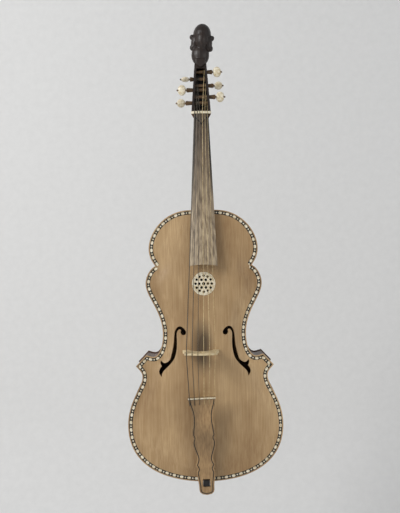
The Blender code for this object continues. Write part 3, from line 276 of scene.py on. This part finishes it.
def inset(loop, distance):
    """A closed line moved inwards, without the points that a corner pushes too close to the edge."""
    moved = []
    for i, point in enumerate(loop):
        before = (point - loop[i - 1]).normalized()
        after = (loop[(i + 1) % len(loop)] - point).normalized()
        mitre = (Vector((-before.y, before.x)) + Vector((-after.y, after.x))).normalized()
        moved.append(point + mitre * distance / mitre.dot(Vector((-after.y, after.x))))
    return [p for p in moved if edge_distance(p, loop) > distance - INSET_TOLERANCE]


def inside(point, loop):
    hit = False
    for i, one in enumerate(loop):
        two = loop[i - 1]
        if (one.y > point.y) != (two.y > point.y):
            if point.x < one.x + (two.x - one.x) * (point.y - one.y) / (two.y - one.y):
                hit = not hit
    return hit


def arched(x, height):
    """Front of the belly at a place."""
    rows = [(h * MM, w * MM) for h, w in ARCH_WIDTHS]
    width = rows[0][1]
    for (low, one), (high, two) in zip(rows, rows[1:]):
        if low <= height <= high:
            width = mix((one, two), eased(between(height, low, high)))
    across = max(0, 1 - (x / width) ** 2)
    lengthways = max(0, 1 - ((height - ARCH_CREST) / ARCH_REACH) ** 2)
    rim = eased(between(edge_distance(Vector((x, height)), outline), BORDER, BORDER + ARCH_RISE))
    return EDGE_FRONT + BELLY_ARCH * across * lengthways * rim


def smooth_loop(points, sharp=()):
    """A closed line through its points, rounded everywhere but at the sharp ones."""
    made = []
    count = len(points)
    for i in range(count):
        p0, p1, p2, p3 = (points[(i + k - 1) % count] for k in range(4))
        leave = p1 if i in sharp else p1 + (p2 - p0) / 6
        arrive = p2 if (i + 1) % count in sharp else p2 - (p3 - p1) / 6
        made += interpolate_bezier(p1, leave, arrive, p2, HOLE_STEPS + 1)[:-1]
    return [p.to_2d() for p in made]


def sheet(name, loops, keep, front, thickness, extra=()):
    """A plate between closed lines, on the side that keep() accepts, raised by front(x, height)."""
    points = []
    edges = []
    for loop in loops:
        first = len(points)
        points += loop
        edges += [(first + i, first + (i + 1) % len(loop)) for i in range(len(loop))]
    places, _, cells, *_ = delaunay_2d_cdt(points + list(extra), edges, [], 1, 0.001 * MM)
    middles = [sum((places[i] for i in cell), Vector((0, 0))) / len(cell) for cell in cells]
    faces = [cell for cell, middle in zip(cells, middles) if keep(middle)]
    mesh = bpy.data.meshes.new(name)
    mesh.from_pydata([at(p.x, front(p.x, p.y), p.y) for p in places], [], faces)
    shape = bmesh.new()
    shape.from_mesh(mesh)
    bmesh.ops.delete(shape, geom=[v for v in shape.verts if not v.link_faces], context="VERTS")
    bmesh.ops.recalc_face_normals(shape, faces=shape.faces)
    if sum(face.normal.y for face in shape.faces) > 0:
        bmesh.ops.reverse_faces(shape, faces=shape.faces)
    bmesh.ops.solidify(shape, geom=shape.faces[:], thickness=thickness)
    shape.to_mesh(mesh)
    shape.free()
    mesh.shade_smooth()
    mesh.set_sharp_from_angle(angle=SHARP_ANGLE)
    return mesh


turns = [2 * math.pi * i / ROSE_POINTS for i in range(ROSE_POINTS)]
holes = [[Vector((math.cos(a), math.sin(a))) * (ROSE_RADIUS + GAP) + Vector((0, ROSE_HEIGHT)) for a in turns]]
for side in (1, -1):
    holes.append(smooth_loop([Vector((x * side, z)) * MM for x, z in SOUND_HOLE], SHARP_HOLE_POINTS))
half_rim = [Vector((HOOK_SEAT, HOOK_TOP + GAP)), Vector((HOOK_SEAT, HOOK_FOOT))]
half_rim += [p for p in half_outline
             if (p.x > HOOK_SEAT or p.y > BORDER) and (p.x > NECK_SEAT or p.y < NECK_END)]
half_rim += [Vector((NECK_SEAT, BODY_LENGTH)), Vector((NECK_SEAT, BODY_LENGTH - NECK_SEAT_DEPTH))]
rim = half_rim + mirrored(half_rim)
border_line = inset(outline, BORDER)
spots = []
for row in range(GRID_ROWS):
    for column in range(-GRID_HALF_COLUMNS, GRID_HALF_COLUMNS + 1):
        spot = Vector((column + row % 2 / 2, row)) * GRID
        if inside(spot, border_line) and edge_distance(spot, border_line) > BORDER_ROOM:
            if not any(inside(spot, hole) or edge_distance(spot, hole) < HOLE_ROOM for hole in holes):
                spots.append(spot)


def on_wood(point):
    return inside(point, rim) and not any(inside(point, hole) for hole in holes)


belly = sheet("belly", [rim, border_line, *holes], on_wood, arched, BELLY_THICKNESS, spots)
put("belly", belly, old_spruce(), stands_for=("soundboard",))


# Inlay around the belly.
# A band of ebony let into the flat border and scraped level, with chips of bone glued into it: long hexagons
# with a dot between each two.

BAND_EDGES = (3 * MM, 12 * MM)
BAND_MIDDLE = 7.5 * MM
BAND_FRONT = EDGE_FRONT + 0.12 * MM
BAND_THICKNESS = 0.1 * MM
CHIP_FRONT = EDGE_FRONT + 0.2 * MM
LOZENGE_PITCH = 20.4 * MM
LOZENGE = (11.5 * MM, 6.6 * MM)
DOT_RADIUS = 2.1 * MM
DOT_SIDES = 16
HEXAGON_SIDES = 6


def bone(name, light="#e8dfc8", dark="#b9a67f"):
    """Sawn bone polished by scraping and by hands: yellowed clouds under a soft shine, with fine pores that
    have filled with dirt."""
    made, tree, shader, place = blank(name, 0.32)
    cloud = add(tree, "ShaderNodeTexNoise", {"Vector": place, "Scale": 160, "Detail": 4}).outputs[0]
    fine = add(tree, "ShaderNodeMapping", {"Vector": place, "Scale": (900, 900, 250)}).outputs[0]
    pores = add(tree, "ShaderNodeTexNoise", {"Vector": fine, "Scale": 1, "Detail": 2}).outputs[0]
    colour = add(tree, "ShaderNodeValToRGB", {0: cloud}, ((0.3, dark), (0.62, light))).outputs[0]
    dust = add(tree, "ShaderNodeValToRGB", {0: pores}, ((0.28, "#9a8866"), (0.38, "#ffffff"))).outputs[0]
    both = add(tree, "ShaderNodeMix", {0: 0.7, 6: colour, 7: dust}, data_type="RGBA", blend_type="MULTIPLY")
    raised = add(tree, "ShaderNodeBump", {"Height": pores, "Strength": 0.1, "Distance": 0.1 * MM})
    tree.links.new(both.outputs[2], shader.inputs["Base Color"])
    tree.links.new(raised.outputs[0], shader.inputs["Normal"])
    shader.inputs["Subsurface Weight"].default_value = 0.1
    shader.inputs["Subsurface Radius"].default_value = (2 * MM, 1.5 * MM, 1 * MM)
    return made


EBONY = wood("ebony", "#080706", "#1a1613", 0.3, relief=0.05)
BONE = bone("old bone")
outer, inner = (inset(outline, distance) for distance in BAND_EDGES)
band = sheet("border_band", [outer, inner],
             lambda p: inside(p, outer) and not inside(p, inner) and inside(p, rim),
             lambda x, height: BAND_FRONT, BAND_THICKNESS)
put("border_band", band, EBONY)


def chips_tree():
    """Hexagons and dots by turns at even steps along a closed path, left out where the tail hook stands."""
    tree = bpy.data.node_groups.new("chips along a path", "GeometryNodeTree")
    tree.interface.new_socket("Geometry", in_out="OUTPUT", socket_type="NodeSocketGeometry")
    kinds = {"Geometry": "Geometry", "Chips": "Int", "Length": "Float", "Width": "Float",
             "Dot Radius": "Float", "Hook Room": "Float", "Material": "Material"}
    for name, kind in kinds.items():
        tree.interface.new_socket(name, in_out="INPUT", socket_type=f"NodeSocket{kind}")
    given = add(tree, "NodeGroupInput").outputs
    points = add(tree, "GeometryNodeCurveToPoints", {"Curve": given["Geometry"], "Count": given["Chips"]},
                 mode="COUNT")
    index = add(tree, "GeometryNodeInputIndex").outputs[0]
    odd = add(tree, "ShaderNodeMath", {0: index, 1: 2.0}, operation="MODULO").outputs[0]
    half = add(tree, "ShaderNodeMath", {0: given["Length"], 1: 2.0}, operation="DIVIDE").outputs[0]
    reach = add(tree, "ShaderNodeMix", {0: odd, 2: half, 3: given["Dot Radius"]}).outputs[0]
    room = add(tree, "ShaderNodeMath", {0: reach, 1: given["Hook Room"]}).outputs[0]
    spot = add(tree, "ShaderNodeSeparateXYZ", {0: add(tree, "GeometryNodeInputPosition").outputs[0]}).outputs
    off_axis = add(tree, "ShaderNodeMath", {0: spot["X"]}, operation="ABSOLUTE").outputs[0]
    close = add(tree, "ShaderNodeMath", {0: off_axis, 1: room}, operation="LESS_THAN").outputs[0]
    low = add(tree, "ShaderNodeMath", {0: spot["Z"], 1: 0.0}, operation="LESS_THAN").outputs[0]
    blocked = add(tree, "ShaderNodeMath", {0: close, 1: low}, operation="MULTIPLY").outputs[0]
    clear = add(tree, "ShaderNodeMath", {0: 1.0, 1: blocked}, operation="SUBTRACT").outputs[0]
    turn = add(tree, "FunctionNodeAlignRotationToVector",
               {"Rotation": (math.pi / 2, 0, 0), "Vector": points.outputs["Tangent"]},
               axis="X", pivot_axis="Z")
    wide = add(tree, "ShaderNodeMath", {0: given["Width"], 1: 2 * math.sin(math.pi / 3)}, operation="DIVIDE")
    sizes = add(tree, "ShaderNodeCombineXYZ", {"X": half, "Y": wide.outputs[0], "Z": 1.0}).outputs[0]
    joined = add(tree, "GeometryNodeJoinGeometry")
    hexagon = (0.0, HEXAGON_SIDES, 1.0, sizes)
    dot = (1.0, DOT_SIDES, given["Dot Radius"], None)
    for wanted, sides, radius, size in (hexagon, dot):
        parity = add(tree, "ShaderNodeMath", {0: odd, 1: wanted, 2: 0.5}, operation="COMPARE").outputs[0]
        chosen = add(tree, "ShaderNodeMath", {0: parity, 1: clear}, operation="MULTIPLY").outputs[0]
        chip = add(tree, "GeometryNodeMeshCircle", {"Vertices": sides, "Radius": radius}, fill_type="NGON")
        inputs = {"Points": points.outputs["Points"], "Selection": chosen, "Instance": chip.outputs[0],
                  "Rotation": turn.outputs[0]}
        if size:
            inputs["Scale"] = size
        placed = add(tree, "GeometryNodeInstanceOnPoints", inputs)
        tree.links.new(placed.outputs[0], joined.inputs[0])
    real = add(tree, "GeometryNodeRealizeInstances", {"Geometry": joined.outputs[0]})
    named = add(tree, "GeometryNodeSetMaterial", {"Geometry": real.outputs[0], "Material": given["Material"]})
    add(tree, "NodeGroupOutput", {0: named.outputs[0]})
    return tree


line = inset(outline, BAND_MIDDLE)
line = line[-1:] + line[:-1]
total = sum((line[i] - line[i - 1]).length for i in range(len(line)))
route = bpy.data.curves.new("border_route", "CURVE")
route.dimensions = "3D"
spline = route.splines.new("POLY")
spline.points.add(len(line) - 1)
spline.use_cyclic_u = True
for point, place in zip(spline.points, line):
    point.co = (*at(place.x, CHIP_FRONT, place.y), 1)
holder = bpy.data.objects.new("border_route", route)
bpy.context.scene.collection.objects.link(holder)
nodes = holder.modifiers.new("chips", "NODES")
nodes.node_group = chips_tree()
sizes = {"Chips": 2 * round(total / LOZENGE_PITCH), "Length": LOZENGE[0], "Width": LOZENGE[1],
         "Dot Radius": DOT_RADIUS, "Hook Room": HOOK_SEAT, "Material": BONE}
for item in nodes.node_group.interface.items_tree:
    if item.in_out == "INPUT" and item.name in sizes:
        nodes[item.identifier] = sizes[item.name]
bpy.context.view_layer.update()
chips = bpy.data.meshes.new_from_object(holder.evaluated_get(bpy.context.evaluated_depsgraph_get()))
bpy.data.objects.remove(holder)
put("border_chips", chips, BONE)


# Rose in the round hole.
# A turned ring of bone let into the belly around a thin disc pierced with a fine saw, both glued in.

dress(BONE, "rose_ring", "rose")


# Neck.
# Maple carved in one piece with its heel, seated in the body's top, varnished like the body and rubbed
# by hands.

dress(MAPLE, "neck")


# Fingerboard.
# A long board glued on the neck, stained and planed to a round section, with a black pointed inlay below the
# nut. Pale and dark streaks run down its middle towards the body: partly wear by strings and fingers, partly
# painted shadows and reflections of the strings. The black stain is left on its edges.

BOARD_ENDS = (433 * MM, 850.7 * MM)
BOARD_HALVES = (38.3 * MM, 19.9 * MM)
EDGE_WIDTH = 5.2 * MM
EDGE_FADE = (560 * MM, 740 * MM)
STREAK_FADE = (800 * MM, 560 * MM)
STREAK_WIDTH = 5 * MM
STREAK_LENGTH = 500 * MM
POINT_HEIGHT = 822 * MM
POINT_SLOPE = 1.2
POINT_LINE = 2.2 * MM
POINT_HALF = 15 * MM
STUDS = ((0, 822),)
STUD_RADIUS = 2.6 * MM


def worn_and_string_shaded_board():
    """Stained wood, black at the edges, streaked by wear and by painted string shadows and reflections."""
    made = wood("fingerboard worn and painted with string shade", "#4a3c30", "#85725c", 0.5)
    tree = made.node_tree
    shader = tree.nodes["Principled BSDF"]
    worn = shader.inputs["Base Color"].links[0].from_socket
    place = add(tree, "ShaderNodeTexCoord").outputs["Object"]
    spot = add(tree, "ShaderNodeSeparateXYZ", {0: place}).outputs
    size = (1 / STREAK_WIDTH, 1 / STREAK_WIDTH, 1 / STREAK_LENGTH)
    run = add(tree, "ShaderNodeMapping", {"Vector": place, "Scale": size}).outputs["Vector"]
    # Streaks along the board towards the body: partly wear, partly painted string shadows and reflections.
    streak = add(tree, "ShaderNodeTexNoise", {"Vector": run, "Scale": 1, "Detail": 3}).outputs[0]
    pale = add(tree, "ShaderNodeValToRGB", {0: streak}, ((0.35, "#75644f"), (0.65, "#b9a587"))).outputs[0]
    streak_share = add(tree, "ShaderNodeMapRange",
              {"Value": spot["Z"], "From Min": STREAK_FADE[0], "From Max": STREAK_FADE[1]}).outputs[0]
    worn = add(tree, "ShaderNodeMix", {0: streak_share, 6: worn, 7: pale}, data_type="RGBA").outputs[2]
    off_axis = add(tree, "ShaderNodeMath", {0: spot["X"]}, operation="ABSOLUTE").outputs[0]
    half = add(tree, "ShaderNodeMapRange",
               {"Value": spot["Z"], "From Min": BOARD_ENDS[0], "From Max": BOARD_ENDS[1],
                "To Min": BOARD_HALVES[0] - EDGE_WIDTH, "To Max": BOARD_HALVES[1] - EDGE_WIDTH}).outputs[0]
    edge = add(tree, "ShaderNodeMath", {0: off_axis, 1: half}, operation="GREATER_THAN").outputs[0]
    fade = add(tree, "ShaderNodeMapRange",
               {"Value": spot["Z"], "From Min": EDGE_FADE[0], "From Max": EDGE_FADE[1]}).outputs[0]
    stained = add(tree, "ShaderNodeMath", {0: edge, 1: fade}, operation="MULTIPLY").outputs[0]
    colour = add(tree, "ShaderNodeMix", {0: stained, 6: worn, 7: rgb("#15110e")}, data_type="RGBA").outputs[2]
    sloped = add(tree, "ShaderNodeMath", {0: off_axis, 1: POINT_SLOPE, 2: POINT_HEIGHT},
                 operation="MULTIPLY_ADD").outputs[0]
    off_line = add(tree, "ShaderNodeMath", {0: spot["Z"], 1: sloped, 2: POINT_LINE}, operation="COMPARE")
    near = add(tree, "ShaderNodeMath", {0: off_axis, 1: POINT_HALF}, operation="LESS_THAN").outputs[0]
    light = add(tree, "ShaderNodeMath", {0: off_line.outputs[0], 1: near}, operation="MULTIPLY").outputs[0]
    for x, z in STUDS:
        flat = add(tree, "ShaderNodeVectorMath", {0: place, 1: (1, 0, 1)}, operation="MULTIPLY").outputs[0]
        away = add(tree, "ShaderNodeVectorMath", {0: flat, 1: (x * MM, 0, z * MM)}, operation="DISTANCE")
        stud = add(tree, "ShaderNodeMath", {0: away.outputs["Value"], 1: STUD_RADIUS}, operation="LESS_THAN")
        light = add(tree, "ShaderNodeMath", {0: light, 1: stud.outputs[0]}, operation="MAXIMUM").outputs[0]
    colour = add(tree, "ShaderNodeMix", {0: light, 6: colour, 7: rgb("#120e0b")}, data_type="RGBA").outputs[2]
    tree.links.new(colour, shader.inputs["Base Color"])
    return made


dress(worn_and_string_shaded_board(), "fingerboard")


# Nut and tailpiece saddle.
# Filed strips of bone that carry the strings at both ends, held by glue and by the strings' pull.

dress(BONE, "nut", "tailpiece_saddle")


# Pegbox and carved head.
# One block of dark stained wood, the box chiselled out and the head carved with gouges, then oiled.
# The head's lumps are melted into one carved surface.

DARK = wood("dark stained wood", "#1d130e", "#34241a", 0.38)
HEAD_VOXEL = 1.2 * MM
HEAD_PASSES = 12


def refined(node_name, finish, voxel, passes, body="viol"):
    """A remeshed, smoothed copy of a node, in its place."""
    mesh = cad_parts[node_name].data.copy()
    made = put(f"{node_name}_fine", mesh, finish, body, (node_name,))
    remesh = made.modifiers.new("remesh", "REMESH")
    remesh.mode = "VOXEL"
    remesh.voxel_size = voxel
    remesh.use_smooth_shade = True
    relax = made.modifiers.new("relax", "SMOOTH")
    relax.iterations = passes


dress(DARK, "pegbox")
refined("head", DARK, HEAD_VOXEL, HEAD_PASSES)


# Six pegs.
# Turned tapered shafts of boxwood that stick in the pegbox by friction, with flat heads of bone pinned on.

PEG_HEAD_VOXEL = 0.6 * MM
PEG_HEAD_PASSES = 8
PEG_WOOD = wood("boxwood pegs", "#4a3420", "#8b6b45", 0.35, grain=(60, 500, 500))
for number in range(1, 7):
    dress(PEG_WOOD, f"peg_{number}_shaft")
    refined(f"peg_{number}_head", BONE, PEG_HEAD_VOXEL, PEG_HEAD_PASSES, f"peg_{number}")


# Bridge.
# Pale unvarnished maple cut with a knife, standing on the belly under the strings' pressure alone.

dress(wood("pale bridge maple", "#c9ad7c", "#efdfb8", 0.5, grain=(60, 300, 300)), "bridge")


# Tailpiece and the hook bar that holds it.
# The tailpiece is a varnished board with a dark line let in around its edge, and a mortise over the upright
# bar of ebony, which is glued to the foot.

TAIL_END_HEIGHT = -33.6 * MM
TAIL_END_FRONT = 143 * MM
TAIL_TILT = math.radians(11.4)
TAIL_SWING = math.radians(-2.3)
TAIL_THICKNESS = 8 * MM
TAIL_EDGE = ((0, 0), (12, 2.5), (18.5, 8), (20.4, 15), (20.7, 30), (22.6, 44), (24.5, 57), (24.9, 67),
             (21.8, 76), (26.5, 87), (23, 96), (21.2, 106), (24.5, 120), (29, 134), (31.4, 146), (31.4, 155),
             (28.6, 164.5), (31.3, 172), (31, 181), (28.6, 199), (27.2, 214), (27.2, 226), (29, 239),
             (34, 258), (37, 272), (37, 279))
LINE_EDGES = (3.2 * MM, 5.6 * MM)
LINE_FRONT = 0.1 * MM
LINE_THICKNESS = 0.08 * MM
MORTISE_MIDDLE = 35 * MM
dress(wood("varnished fruitwood tailpiece", "#94744e", "#bd9a6c", 0.4), "tailpiece")
dress(EBONY, "tail_hook")
pivot = Matrix.Translation((0, 0, MORTISE_MIDDLE))
tail = Matrix.Translation(at(0, TAIL_END_FRONT, TAIL_END_HEIGHT)) @ Matrix.Rotation(TAIL_TILT, 4, "X")
tail = tail @ pivot @ Matrix.Rotation(TAIL_SWING, 4, "Y") @ pivot.inverted()
half_edge = [Vector(point) * MM for point in TAIL_EDGE]
edge = smooth_loop(half_edge + mirrored(half_edge[1:]), (len(half_edge) - 1, len(half_edge)))
outer, inner = (inset(edge, distance) for distance in LINE_EDGES)
line = sheet("tailpiece_line", [outer, inner], lambda p: inside(p, outer) and not inside(p, inner),
             lambda x, height: LINE_FRONT, LINE_THICKNESS)
line.transform(tail @ Matrix.Translation((0, 0, REST_HEIGHT)))
put("tailpiece_line", line, EBONY)


# Strings and their turns on the pegs.
# Twisted gut, oiled, the three lower ones overspun with thin wire. Each is knotted behind the tailpiece and
# runs over saddle, bridge and nut to its peg.

STRING_DIAMETERS = (2.2 * MM, 1.8 * MM, 1.4 * MM, 1.1 * MM, 0.9 * MM, 0.7 * MM)
MIDDLE_STRING = 2.5
OVERSPUN = 3
TAIL_HOLES = 259 * MM
TAIL_SPACING = 13.1 * MM
SADDLE = (275 * MM, 278.5 * MM)
SADDLE_RISE = 2.5 * MM
KNOT = ((4, 0.5), (2.6, 1.9), (1.2, 1.9))
BRIDGE_HEIGHT = 357 * MM
BRIDGE_SHIFT = -10.2 * MM
BRIDGE_SPACING = 15.4 * MM
BRIDGE_CAMBER = 75 * MM
BRIDGE_STRING_FRONT = 225 * MM
BRIDGE_TOP_THICKNESS = 5 * MM
NUT_SPACING = 7 * MM
NUT_CAMBER = 60 * MM
NUT_STRING_FRONT = 113 * MM
NUT_HEIGHT = 1008 * MM
NECK_TOP = 1014.5 * MM
PEGBOX_START = 1014.8 * MM
PEGBOX_LENGTH = 135.2 * MM
PEGBOX_HALVES = (26.5 * MM, 16.5 * MM)
CHEEK = 6 * MM
CHEEK_ROOM = 1.2 * MM
PEG_STRINGS = (0, 5, 1, 4, 2, 3)
FIRST_PEG = 24.6 * MM
LAST_PEG = 22.4 * MM
PEG_ROOM = 1.6 * MM
PEG_SPREAD = (0.173, 0.282, 0.022, 0.241, 0.282)
PEG_FRONTS = (88 * MM, 70 * MM)
PEG_MID_RADIUS = 4.8 * MM
PEG_TAPER = 0.02
WRAP = math.radians(200)
WRAP_STEPS = 20
TURNS = 3
LOOP_POINTS = 32
TURN_ROOM = 0.5 * MM
ROUND_STEPS = 4


def overspun_wire():
    """Thin wire wound tightly over gut and tarnished: close ridges, dark between and dull bright on top."""
    made, tree, shader, place = blank("tarnished overspun wire", 0.4)
    rounds = add(tree, "ShaderNodeTexWave", {"Vector": place, "Scale": 700}, wave_type="BANDS",
                 bands_direction="Z").outputs["Fac"]
    colour = add(tree, "ShaderNodeValToRGB", {0: rounds}, ((0.1, "#2a2621"), (0.8, "#6d665a")))
    raised = add(tree, "ShaderNodeBump", {"Height": rounds, "Strength": 0.3, "Distance": 0.1 * MM})
    tree.links.new(colour.outputs[0], shader.inputs["Base Color"])
    tree.links.new(raised.outputs[0], shader.inputs["Normal"])
    shader.inputs["Metallic"].default_value = 0.6
    return made


def sag(camber, across):
    """How far a cambered edge lies behind its middle."""
    return camber - math.sqrt(camber * camber - across * across)


def cord(name, points, i, body, stands_for, plain, swellings=()):
    """A round string through its points, with swellings at its start, in place of a node of the frame."""
    curve = bpy.data.curves.new(name, "CURVE")
    curve.dimensions = "3D"
    curve.bevel_depth = STRING_DIAMETERS[i] / 2
    curve.bevel_resolution = ROUND_STEPS
    curve.use_fill_caps = True
    spline = curve.splines.new("POLY")
    spline.points.add(len(points) - 1)
    for point, place in zip(spline.points, points):
        point.co = (*place, 1)
    for point, swelling in zip(spline.points, swellings):
        point.radius = swelling
    finish, slot = (WIRE, "wound_gut") if i < OVERSPUN else (plain, "gut")
    put(name, curve, finish, body, (stands_for,))


WIRE = overspun_wire()
GUT = bone("oiled gut", "#d9c496", "#a98d58")
# A darker copy of the gut for the turns on the pegs: painted shade of the pegbox.
SHADED_GUT = bone("gut darkened with painted pegbox shade", "#5e4c30", "#3a2d1a")
peg_span = PEGBOX_LENGTH - FIRST_PEG - LAST_PEG
least_pitch = 2 * PEG_MID_RADIUS + PEG_ROOM
pitches = [least_pitch + (peg_span - len(PEG_SPREAD) * least_pitch) * share for share in PEG_SPREAD]
for k, i in enumerate(PEG_STRINGS):
    number = 6 - i
    diameter = STRING_DIAMETERS[i]
    outward = -1 if k % 2 == 0 else 1
    rise = sum(pitches[:k])
    height = PEGBOX_START + FIRST_PEG + rise
    front = mix(PEG_FRONTS, rise / peg_span)
    half = mix(PEGBOX_HALVES, (height - PEGBOX_START) / PEGBOX_LENGTH)
    peg_x = outward * (half - CHEEK - CHEEK_ROOM - diameter / 2)
    radius = PEG_MID_RADIUS + PEG_TAPER * abs(peg_x) + GAP + diameter / 2
    over = GAP + diameter / 2
    place = i - MIDDLE_STRING
    ways = [(TAIL_THICKNESS + GAP + away * diameter, TAIL_HOLES) for away, _ in KNOT]
    ways += [(TAIL_THICKNESS, TAIL_HOLES), (-over, TAIL_HOLES), (-SADDLE_RISE - over, SADDLE[0]),
             (-SADDLE_RISE - over, SADDLE[1])]
    path = [tail @ Vector((place * TAIL_SPACING, y, z)) for y, z in ways]
    x = place * BRIDGE_SPACING
    bridge_front = BRIDGE_STRING_FRONT - sag(BRIDGE_CAMBER, x)
    for end in (-1, 1):
        path.append(at(x + BRIDGE_SHIFT, bridge_front, BRIDGE_HEIGHT + end * BRIDGE_TOP_THICKNESS / 2))
    x = place * NUT_SPACING
    nut_front = NUT_STRING_FRONT - sag(NUT_CAMBER, x) + diameter / 2
    path += [at(x, nut_front, NUT_HEIGHT), at(x, nut_front, NECK_TOP)]
    above = height - NECK_TOP
    drop = nut_front - front
    start = math.pi / 2 - math.acos(radius / math.hypot(above, drop)) - math.atan2(drop, above)
    for step in range(WRAP_STEPS + 1):
        angle = WRAP * step / WRAP_STEPS - start
        path.append(at(peg_x, front + radius * math.cos(angle), height + radius * math.sin(angle)))
    cord(f"string_{number}_cord", path, i, "viol", f"string_{number}", GUT, [size for _, size in KNOT])
    winding = []
    for step in range(TURNS * LOOP_POINTS + 1):
        angle = 2 * math.pi * step / LOOP_POINTS
        x = peg_x - outward * (diameter + TURN_ROOM) * (1 + step / LOOP_POINTS)
        winding.append(at(x, front + radius * math.cos(angle), height + radius * math.sin(angle)))
    # The turns get the darker gut as painted shade of the pegbox.
    cord(f"string_{number}_turns", winding, i, f"peg_{number}", f"string_{number}_winding", SHADED_GUT)


# Backdrop and lights.
# A sweep of pale paper behind and under the viol, one large soft light from the left, a weak one from the
# right and one from behind. The paper shows only its front, so that a view from behind sees past it.

SWEEP_HALF = 4
SWEEP_FRONT = -4
SWEEP_FLOOR = -0.75
SWEEP_TOP = 3.5
BEND_START = 0.5
BEND_RADIUS = 0.6
BEND_STEPS = 16
LAMPS = (("key", (-2.6, -2.4, 2.0), (58, 0, -47), 1.8, 95),
         ("fill", (2.8, -2.6, 0.8), (75, 0, 46), 2.5, 22),
         ("rear", (1.6, 3.2, 2.4), (57, 0, 153), 2.2, 45))
WORLD_STRENGTH = 0.55


def backdrop_paper():
    """Matt paper off a roll: an even pale grey with faint clouds from its pulp."""
    made, tree, shader, place = blank("backdrop paper", 0.9)
    pulp = add(tree, "ShaderNodeTexNoise",
               {"Vector": place, "Scale": 40, "Detail": 6, "Roughness": 0.6}).outputs[0]
    colour = add(tree, "ShaderNodeValToRGB", {0: pulp}, ((0.3, "#dedddb"), (0.7, "#e3e2e0")))
    tree.links.new(colour.outputs[0], shader.inputs["Base Color"])
    reverse = add(tree, "ShaderNodeNewGeometry").outputs["Backfacing"]
    clear = add(tree, "ShaderNodeBsdfTransparent").outputs[0]
    shown = add(tree, "ShaderNodeMixShader", {0: reverse, 1: shader.outputs[0], 2: clear})
    tree.links.new(shown.outputs[0], tree.nodes["Material Output"].inputs["Surface"])
    return made


bend = [math.pi / 2 * i / BEND_STEPS for i in range(1, BEND_STEPS + 1)]
profile = [(SWEEP_FRONT, SWEEP_FLOOR), (BEND_START, SWEEP_FLOOR)]
for a in bend:
    profile.append((BEND_START + BEND_RADIUS * math.sin(a), SWEEP_FLOOR + BEND_RADIUS * (1 - math.cos(a))))
profile.append((BEND_START + BEND_RADIUS, SWEEP_TOP))
corners = [(x, y, z) for y, z in profile for x in (-SWEEP_HALF, SWEEP_HALF)]
strips = [(2 * i, 2 * i + 1, 2 * i + 3, 2 * i + 2) for i in range(len(profile) - 1)]
sweep = bpy.data.meshes.new("backdrop")
sweep.from_pydata(corners, [], strips)
sweep.shade_smooth()
sweep.materials.append(backdrop_paper())
backdrop = bpy.data.objects.new("backdrop", sweep)
bpy.context.scene.collection.objects.link(backdrop)
for name, place, turn, size, power in LAMPS:
    lamp = bpy.data.lights.new(name, "AREA")
    lamp.energy = power
    lamp.size = size
    holder = bpy.data.objects.new(name, lamp)
    holder.location = place
    holder.rotation_euler = [math.radians(a) for a in turn]
    bpy.context.scene.collection.objects.link(holder)
world = bpy.data.worlds.new("studio")
world.use_nodes = True
world.node_tree.nodes["Background"].inputs["Color"].default_value = rgb("#dfe2e6")
world.node_tree.nodes["Background"].inputs["Strength"].default_value = WORLD_STRENGTH
bpy.context.scene.world = world


# Camera.
# The photograph's own view: level, from 3 m in front, a little above the middle and rolled by under a degree.

PICTURE = (400, 513)
SENSOR = 24
FOCAL_PIXELS = 1061
PRINCIPAL_POINT = (204, 240)
CAMERA_PLACE = (2.7 * MM, -3.028, 0.5028)
CAMERA_ROLL = math.radians(0.855)

lens = bpy.data.cameras.new("photo")
lens.sensor_fit = "VERTICAL"
lens.sensor_height = SENSOR
lens.lens = SENSOR * FOCAL_PIXELS / PICTURE[1]
lens.shift_x = (PICTURE[0] / 2 - PRINCIPAL_POINT[0]) / PICTURE[1]
lens.shift_y = (PRINCIPAL_POINT[1] - PICTURE[1] / 2) / PICTURE[1]
camera = bpy.data.objects.new("photo", lens)
camera.location = CAMERA_PLACE
camera.rotation_euler = (math.pi / 2, CAMERA_ROLL, 0)
scene = bpy.context.scene
scene.collection.objects.link(camera)
scene.camera = camera
scene.view_settings.view_transform = "Standard"
